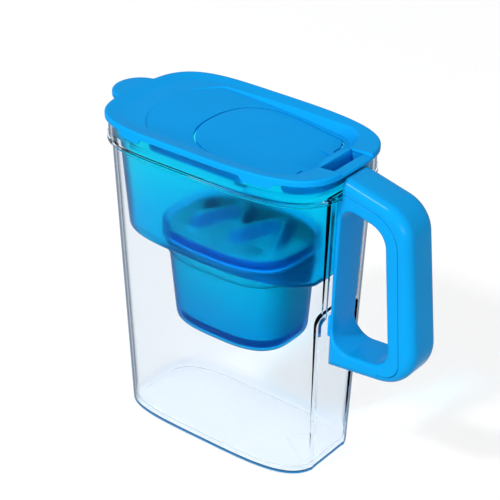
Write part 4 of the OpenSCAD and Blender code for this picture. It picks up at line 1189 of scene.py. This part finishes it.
DRIFT = 0.06            # how far the tone of opaque plastic drifts
CLEAR_DRIFT = 0.01      # and that of clear plastic
GRAIN_SCALE = 1500.0    # cells of the grain in a metre, opaque
CLEAR_SCALE = 900.0     # and clear
PAINTED_EDGE_ON = (0.56, 0.78)  # how far a clear face is turned away where its painted dark edge starts and is full
PAINTED_EDGE_LEVEL = (0.6, 0.9)      # upward slant at which the painted dark edge fades out, so that level faces stay clear


def feed(node, sockets):
    """Sets each input of node, by name or number, to a number or a colour, or links a socket to it."""
    for key, value in sockets.items():
        socket = node.inputs[key]
        if isinstance(value, bpy.types.NodeSocket):
            node.id_data.links.new(value, socket)
        else:
            socket.default_value = (*value, 1) if socket.type == "RGBA" else value


def add(tree, kind, sockets=None, **settings):
    """A new node in tree with its settings, its inputs fed by feed."""
    node = tree.nodes.new(kind)
    for key, value in settings.items():
        setattr(node, key, value)
    feed(node, sockets or {})
    return node


def maths(tree, operation, *values):
    """The result of a Math node, each value a number or a socket."""
    return add(tree, "ShaderNodeMath", dict(enumerate(values)), operation=operation).outputs[0]


def ramp(tree, value, low, high, kind="LINEAR"):
    """0 where value is under low, 1 over high, and a straight or S-shaped rise between."""
    return add(tree, "ShaderNodeMapRange", {"Value": value, "From Min": low, "From Max": high},
               interpolation_type=kind).outputs["Result"]


def blend(tree, share, first, second):
    """The colour first where share is 0 and second where it is 1."""
    return add(tree, "ShaderNodeMix", {"Factor": share, "A": first, "B": second},
               data_type="RGBA").outputs["Result"]


def z_of(tree, vector):
    """The Z part of a vector socket."""
    return add(tree, "ShaderNodeSeparateXYZ", {"Vector": vector}).outputs["Z"]


def moulded_group():
    """Skin of moulded plastic: a fine grain in the normal, and a tone that drifts slowly."""
    group = bpy.data.node_groups.new("Moulded skin", "ShaderNodeTree")
    for name, kind, value in (("Colour", "Color", (0, 0.3, 0.8, 1)), ("Drift", "Float", DRIFT),
                              ("Grain", "Float", 0.1), ("Grain scale", "Float", GRAIN_SCALE),
                              ("Roughness", "Float", 0.35)):
        socket = group.interface.new_socket(name=name, in_out="INPUT", socket_type="NodeSocket" + kind)
        socket.default_value = value
    for name, kind in (("Colour", "Color"), ("Roughness", "Float"), ("Normal", "Vector")):
        group.interface.new_socket(name=name, in_out="OUTPUT", socket_type="NodeSocket" + kind)
    given = add(group, "NodeGroupInput").outputs
    where = add(group, "ShaderNodeTexCoord").outputs["Object"]
    slow = add(group, "ShaderNodeTexNoise", {"Vector": where, "Scale": 26.0, "Detail": 3.0})
    swing = maths(group, "MULTIPLY_ADD", slow.outputs["Fac"], 2.0, -1.0)
    amount = maths(group, "MULTIPLY", swing, given["Drift"])
    tint = add(group, "ShaderNodeHueSaturation",
               {"Color": given["Colour"], "Value": maths(group, "ADD", amount, 1.0)})
    fine = add(group, "ShaderNodeTexNoise",
               {"Vector": where, "Scale": given["Grain scale"], "Detail": 2.0})
    bump = add(group, "ShaderNodeBump",
               {"Height": fine.outputs["Fac"], "Strength": given["Grain"], "Distance": 0.00006})
    add(group, "NodeGroupOutput",
        {"Colour": tint.outputs["Color"], "Normal": bump.outputs["Normal"],
         "Roughness": maths(group, "MULTIPLY_ADD", amount, 0.12, given["Roughness"])})
    return group


def moulded_skin(tree, colour, drift, grain, scale, roughness):
    """The outputs of a Moulded skin node in tree."""
    node = tree.nodes.new("ShaderNodeGroup")
    node.node_tree = bpy.data.node_groups.get("Moulded skin") or moulded_group()
    feed(node, {"Colour": colour, "Drift": drift, "Grain": grain, "Grain scale": scale,
                "Roughness": roughness})
    return node.outputs


def new_material(name):
    """A material, its node tree and its Principled shader."""
    material = bpy.data.materials.new(name)
    material.use_nodes = True
    return material, material.node_tree, material.node_tree.nodes["Principled BSDF"]


def plastic(name, rgb, roughness, specular, grain=0.1, steep_shade=None, upper=None):
    """Opaque moulded plastic. steep paints shade: it is a darker colour for faces whose upward slant is
    under its first value, fading out towards its second. upper paints shade too: it is a darker
    colour for the parts over the first of two heights, fading out towards the second."""
    material, tree, shader = new_material(name)
    colour = rgb
    if steep_shade or upper:
        other, low, high = steep_shade or upper
        along = z_of(tree, add(tree, "ShaderNodeTexCoord").outputs["Normal" if steep_shade else "Object"])
        colour = blend(tree, ramp(tree, along, low, high, "SMOOTHSTEP"), other, rgb)
    skin_of = moulded_skin(tree, colour, DRIFT, grain, GRAIN_SCALE, roughness)
    feed(shader, {"Base Color": skin_of["Colour"], "Roughness": skin_of["Roughness"],
                  "Normal": skin_of["Normal"], "Specular IOR Level": specular})
    return material


def see_through(name, rgb, edge, roughness, tint, density, ior, shine, grain=0.0, deep=None, foot=()):
    """Clear or tinted plastic. Light passes its faces and its thickness takes up the tint. An upright
    face seen from the side turns to the colour edge: painted dark edges, which stand in for the dark
    refraction at its rims. Lamps reach what it holds through a plain tinted face. deep is a colour
    for the parts below the first of two heights, fading out towards the second. Each line of foot
    is a colour and two heights, between which it shows on the faces turned to the viewer: a painted
    line that stands in for shade at an edge and for the tint that gathers at the edge of a floor."""
    material, tree, shader = new_material(name)
    where = add(tree, "ShaderNodeTexCoord").outputs
    height = z_of(tree, where["Object"])
    body = rgb
    if deep:
        lower, low, high = deep
        body = blend(tree, ramp(tree, height, low, high), lower, rgb)
    skin_of = moulded_skin(tree, body, CLEAR_DRIFT, grain, CLEAR_SCALE, roughness)
    # Painted dark edges: an upright face turned away from the viewer takes the colour edge, which stands
    # in for the dark refraction at the rims. Level faces keep their colour.
    turned = ramp(tree, add(tree, "ShaderNodeLayerWeight").outputs["Facing"], *PAINTED_EDGE_ON, "SMOOTHSTEP")
    slant = maths(tree, "ABSOLUTE", z_of(tree, where["Normal"]))
    upright = add(tree, "ShaderNodeMapRange", {"Value": slant, "From Min": PAINTED_EDGE_LEVEL[0],
                                               "From Max": PAINTED_EDGE_LEVEL[1], "To Min": turned, "To Max": 0.0})
    colour = blend(tree, upright.outputs["Result"], skin_of["Colour"], edge)
    # Painted lines: each band of foot shows its colour on the faces turned to the viewer, standing in
    # for shade at an edge and for the tint that gathers at a floor's edge.
    for line, low, high in foot:
        near = maths(tree, "COMPARE", height, (low + high) / 2, (high - low) / 2)
        behind = add(tree, "ShaderNodeNewGeometry").outputs["Backfacing"]
        shown = add(tree, "ShaderNodeMath", {0: near, 1: behind}, operation="SUBTRACT", use_clamp=True)
        colour = blend(tree, shown.outputs[0], colour, line)
    feed(shader, {"Base Color": colour, "Roughness": skin_of["Roughness"], "IOR": ior,
                  "Specular Tint": shine, "Transmission Weight": 1.0})
    if grain:
        feed(shader, {"Normal": skin_of["Normal"]})
    for_lamps = add(tree, "ShaderNodeBsdfTransparent", {"Color": [value ** 0.5 for value in rgb]})
    either = add(tree, "ShaderNodeMixShader",
                 {"Fac": add(tree, "ShaderNodeLightPath").outputs["Is Shadow Ray"],
                  1: shader.outputs["BSDF"], 2: for_lamps.outputs["BSDF"]})
    taken_up = add(tree, "ShaderNodeVolumeAbsorption", {"Color": tint, "Density": density})
    feed(tree.nodes["Material Output"],
         {"Surface": either.outputs["Shader"], "Volume": taken_up.outputs["Volume"]})
    return material


def grained(name, low, high, scale, roughness, bump, kind="Voronoi"):
    """Loose or woven filling: cells, stripes or noise between two colours, raised by bump."""
    material, tree, shader = new_material(name)
    pattern = add(tree, "ShaderNodeTex" + kind,
                  {"Vector": add(tree, "ShaderNodeTexCoord").outputs["Object"], "Scale": scale})
    if kind == "Wave":
        pattern.bands_direction = "DIAGONAL"
    value = pattern.outputs["Distance" if kind == "Voronoi" else "Fac"]
    tones = add(tree, "ShaderNodeValToRGB", {"Fac": value})
    tones.color_ramp.elements[0].color = (*low, 1)
    tones.color_ramp.elements[1].color = (*high, 1)
    raised = add(tree, "ShaderNodeBump", {"Height": value, "Strength": bump, "Distance": 0.0004})
    feed(shader, {"Base Color": tones.outputs["Color"], "Normal": raised.outputs["Normal"],
                  "Roughness": roughness})
    return material


# ---- operators ----------------------------------------------------------------------------


def settings():
    """The jug's settings: the property groups with their sizes."""
    return bpy.context.scene.pitcher


class PITCHER_OT_jug(bpy.types.Operator):
    """Makes the clear jug with its spout, its bead and the recess for the handle"""

    bl_idname = "pitcher.jug"
    bl_label = "Clear jug"

    def execute(self, context):
        given = settings()
        # Painted shade: edge darkens the jug's upright faces seen from the side, standing in for the
        # dark refraction at its rims. The two foot lines paint a blue line and a near-black line along
        # the base, standing in for the tint that gathers at the floor's edge and for the dark refraction
        # above it.
        clear = see_through("Clear plastic with painted edges", given.colours.clear, edge=(0.001, 0.02, 0.06),
                            roughness=0.0, tint=(0.11, 0.42, 0.72), density=30.0, ior=1.12,
                            shine=(0.06, 0.25, 0.4),
                            foot=(((0.001, 0.05, 0.24), 0.0017, 0.0035),
                                  ((0.0, 0.001, 0.004), 0.0035, 0.0042)))
        place(make_jug(sizes(given.jug), clear), "jug", "clear_jug", "jug_body")
        return {"FINISHED"}


class PITCHER_OT_handle(bpy.types.Operator):
    """Makes the two halves of the handle"""

    bl_idname = "pitcher.handle"
    bl_label = "Handle"

    def execute(self, context):
        given = settings()
        frame_blue = plastic("Handle plastic", given.colours.handle, roughness=0.2, specular=0.03)
        grip_blue = plastic("Grip plastic", given.colours.handle, roughness=0.16, specular=0.03)
        inner, outer = make_handle(sizes(given.jug), sizes(given.handle), frame_blue, grip_blue)
        place(inner, "jug", "handle_blue", "handle_frame")
        place(outer, "jug", "grip_blue", "handle_cover")
        return {"FINISHED"}


class PITCHER_OT_reservoir(bpy.types.Operator):
    """Makes the tinted reservoir with the sleeve for the cartridge"""

    bl_idname = "pitcher.reservoir"
    bl_label = "Reservoir"

    def execute(self, context):
        given = settings()
        # Painted shade: edge darkens the reservoir's upright faces seen from the side, standing in for
        # the dark refraction at its rims. The foot lines paint dark lines at the sleeve's foot and at
        # its step, standing in for shade there. deep makes it darker towards the bottom.
        tinted = see_through("Tinted plastic with painted edges", given.colours.tank, edge=(0.01, 0.10, 0.28),
                             roughness=0.29, tint=(0.02, 0.60, 0.97), density=55.0, ior=1.08,
                             shine=(0.02, 0.3, 0.5), grain=0.15, deep=((0.01, 0.52, 0.92), 0.095, 0.215),
                             foot=(((0.0, 0.03, 0.12), SLEEVE_FOOT - 0.001, SLEEVE_FOOT + 0.0023),
                                   ((0.0, 0.02, 0.09), 0.1375, 0.1384)))
        place(make_reservoir(sizes(given.jug), sizes(given.reservoir), tinted), "reservoir",
              "tinted_blue", "reservoir")
        return {"FINISHED"}


class PITCHER_OT_cartridge(bpy.types.Operator):
    """Makes the cartridge's housing and cap, and finishes what it holds"""

    bl_idname = "pitcher.cartridge"
    bl_label = "Filter cartridge"

    def execute(self, context):
        given = settings()
        jug, tank, cartridge = sizes(given.jug), sizes(given.reservoir), sizes(given.cartridge)
        # Painted shade: the housing's flange, above 0.152 m, where it lies under the cap's rim, turns
        # dark navy as if shaded. Below 0.146 m the housing keeps its own colour.
        body = plastic("Cartridge plastic with painted shade", given.colours.housing, roughness=0.4, specular=0.03,
                       upper=((0.001, 0.09, 0.21), 0.152, 0.146))
        # Painted shade: the cap's faces that slant little, the sides of its wave grip, turn dark navy as
        # if shaded, and its level faces keep the cap's colour.
        cap = plastic("Cap plastic with painted shade", given.colours.cap, roughness=0.4, specular=0.03,
                      steep_shade=((0.001, 0.095, 0.22), 0.60, 0.99))
        place(make_housing(jug, tank, cartridge, body), "cartridge", "housing_blue", "cartridge_housing")
        place(make_cap(jug, tank, cartridge, cap), "cartridge", "cap_blue", "cartridge_cap")
        mesh = ((0.55, 0.58, 0.60), (0.85, 0.87, 0.88), 900, 0.6, 0.5, "Wave")
        finishes = {
            "cartridge_seal": plastic("Seal rubber", (0.55, 0.62, 0.70), 0.6, 0.3, grain=0.3),
            "outlet_grille": plastic("Grille plastic", given.colours.housing, 0.4, 0.3),
            "outlet_screen": grained("Outlet mesh", *mesh),
            "inlet_screen": grained("Inlet mesh", *mesh),
            "media_bed": grained("Carbon grains", (0.010, 0.010, 0.012), (0.06, 0.06, 0.065), 800,
                                 0.7, 1.0),
            "fibre_pad": grained("Pressed fibre", (0.75, 0.75, 0.70), (0.92, 0.92, 0.88), 300,
                                 0.9, 0.6, "Noise"),
        }
        for node, material in finishes.items():
            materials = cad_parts[node].data.materials
            materials.clear()
            materials.append(material)
        return {"FINISHED"}


class PITCHER_OT_lid(bpy.types.Operator):
    """Makes the lid with its recess, its tab and the thumb notch"""

    bl_idname = "pitcher.lid"
    bl_label = "Lid"

    def execute(self, context):
        given = settings()
        blue = plastic("Lid plastic", given.colours.lid, roughness=0.36, specular=0.012)
        # Painted shade: the underside takes a darker copy of the lid's colour, as if the lid shaded it.
        inner = plastic("Lid underside painted shade", given.colours.plug, roughness=0.4, specular=0.012)
        shell, tray, fittings = make_lid(sizes(given.jug), sizes(given.lid), sizes(given.flap),
                                         sizes(given.reservoir), blue, inner)
        place(shell, "lid", "lid_blue", "lid_cover")
        place(tray, "lid", "lid_blue")
        place(fittings, "lid", "lid_blue")
        return {"FINISHED"}


class PITCHER_OT_flap(bpy.types.Operator):
    """Makes the flip lid with its scoop, its thumb bar and its pins"""

    bl_idname = "pitcher.flap"
    bl_label = "Flip lid"

    def execute(self, context):
        given = settings()
        blue = plastic("Flap plastic", given.colours.flap, roughness=0.36, specular=0.012)
        plate, bar = make_flap(sizes(given.jug), sizes(given.lid), sizes(given.flap), blue)
        place(plate, "flap", "flap_blue", "flip_lid")
        place(bar, "flap", "flap_blue")
        return {"FINISHED"}


def lamp(name, place_at, aim, size, power):
    """A white rectangular soft box at a place, turned to a point, with its power in watts."""
    data = bpy.data.lights.new(name, "AREA")
    data.shape = "RECTANGLE"
    data.size, data.size_y = size
    data.energy = power
    light = bpy.data.objects.new(name, data)
    light.location = place_at
    light.rotation_euler = (Vector(aim) - Vector(place_at)).to_track_quat("-Z", "Y").to_euler()
    bpy.context.scene.collection.objects.link(light)


def seen_white(tree, plain, shown):
    """A factor that is shown for camera, glossy and transmission rays and plain for the others."""
    path = add(tree, "ShaderNodeLightPath").outputs
    total = path["Is Camera Ray"]
    for name in ("Is Glossy Ray", "Is Transmission Ray"):
        total = maths(tree, "MAXIMUM", total, path[name])
    return add(tree, "ShaderNodeMapRange",
               {"Value": total, "To Min": plain, "To Max": shown}).outputs["Result"]


class PITCHER_OT_stage(bpy.types.Operator):
    """Sets the floor, the light and the camera"""

    bl_idname = "pitcher.stage"
    bl_label = "Stage"

    def execute(self, context):
        scene = context.scene
        studio = settings().studio
        scene.view_settings.view_transform = "Standard"

        world = scene.world or bpy.data.worlds.new("Studio")
        scene.world = world
        world.use_nodes = True
        feed(world.node_tree.nodes["Background"],
             {"Color": (1, 1, 1), "Strength": seen_white(world.node_tree, 0.5, 1.0)})

        bpy.ops.mesh.primitive_plane_add(size=6)
        floor = context.object
        floor.name = "floor"
        white, tree, shader = new_material("Floor")
        feed(shader, {"Base Color": (0.3, 0.3, 0.3), "Roughness": 0.9, "Specular IOR Level": 0.0,
                      "Emission Color": (1, 1, 1), "Emission Strength": seen_white(tree, 0.0, 0.74)})
        floor.data.materials.append(white)

        lamp("front", (1.6, -2.8, 0.55), aim=(0, 0, 0.14), size=(1.8, 0.8), power=75)
        lamp("top", (-0.52, -2.08, 2.6), aim=(0, 0, 0.2), size=(0.32, 0.32), power=62)

        camera = bpy.data.objects.new("camera", bpy.data.cameras.new("camera"))
        camera.data.lens = studio.lens
        camera.data.clip_start = 0.01
        a, e = studio.azimuth, studio.elevation
        target = Vector((studio.target_x, 0, studio.target_z))
        back = Vector((math.sin(a) * math.cos(e), -math.cos(a) * math.cos(e), math.sin(e)))
        camera.location = target + back * studio.distance
        camera.rotation_euler = (-back).to_track_quat("-Z", "Y").to_euler()
        scene.collection.objects.link(camera)
        scene.camera = camera
        return {"FINISHED"}


STEPS = (PITCHER_OT_jug, PITCHER_OT_handle, PITCHER_OT_reservoir, PITCHER_OT_cartridge, PITCHER_OT_lid,
         PITCHER_OT_flap, PITCHER_OT_stage)


class PITCHER_PT_panel(bpy.types.Panel):
    """Lists the steps and the sizes"""

    bl_idname = "PITCHER_PT_panel"
    bl_label = "Filter jug"
    bl_space_type = "VIEW_3D"
    bl_region_type = "UI"
    bl_category = "Filter jug"

    def draw(self, context):
        for step in STEPS:
            self.layout.operator(step.bl_idname)
        given = settings()
        for name in ("jug", "handle", "reservoir", "cartridge", "lid", "flap", "colours", "studio"):
            box = self.layout.box()
            box.label(text=name.capitalize())
            group = getattr(given, name)
            for prop in group.bl_rna.properties:
                if prop.type == "FLOAT":
                    box.prop(group, prop.identifier)


CLASSES = (JugSizes, HandleSizes, ReservoirSizes, CartridgeSizes, LidSizes, FlapSizes, Colours, Studio,
           PitcherSettings, *STEPS, PITCHER_PT_panel)


def register():
    for cls in CLASSES:
        bpy.utils.register_class(cls)
    bpy.types.Scene.pitcher = PointerProperty(type=PitcherSettings)


def unregister():
    del bpy.types.Scene.pitcher
    for cls in reversed(CLASSES):
        bpy.utils.unregister_class(cls)


def main():
    register()
    for step in STEPS:
        group, name = step.bl_idname.split(".")
        getattr(getattr(bpy.ops, group), name)()


if __name__ == "__main__":
    main()
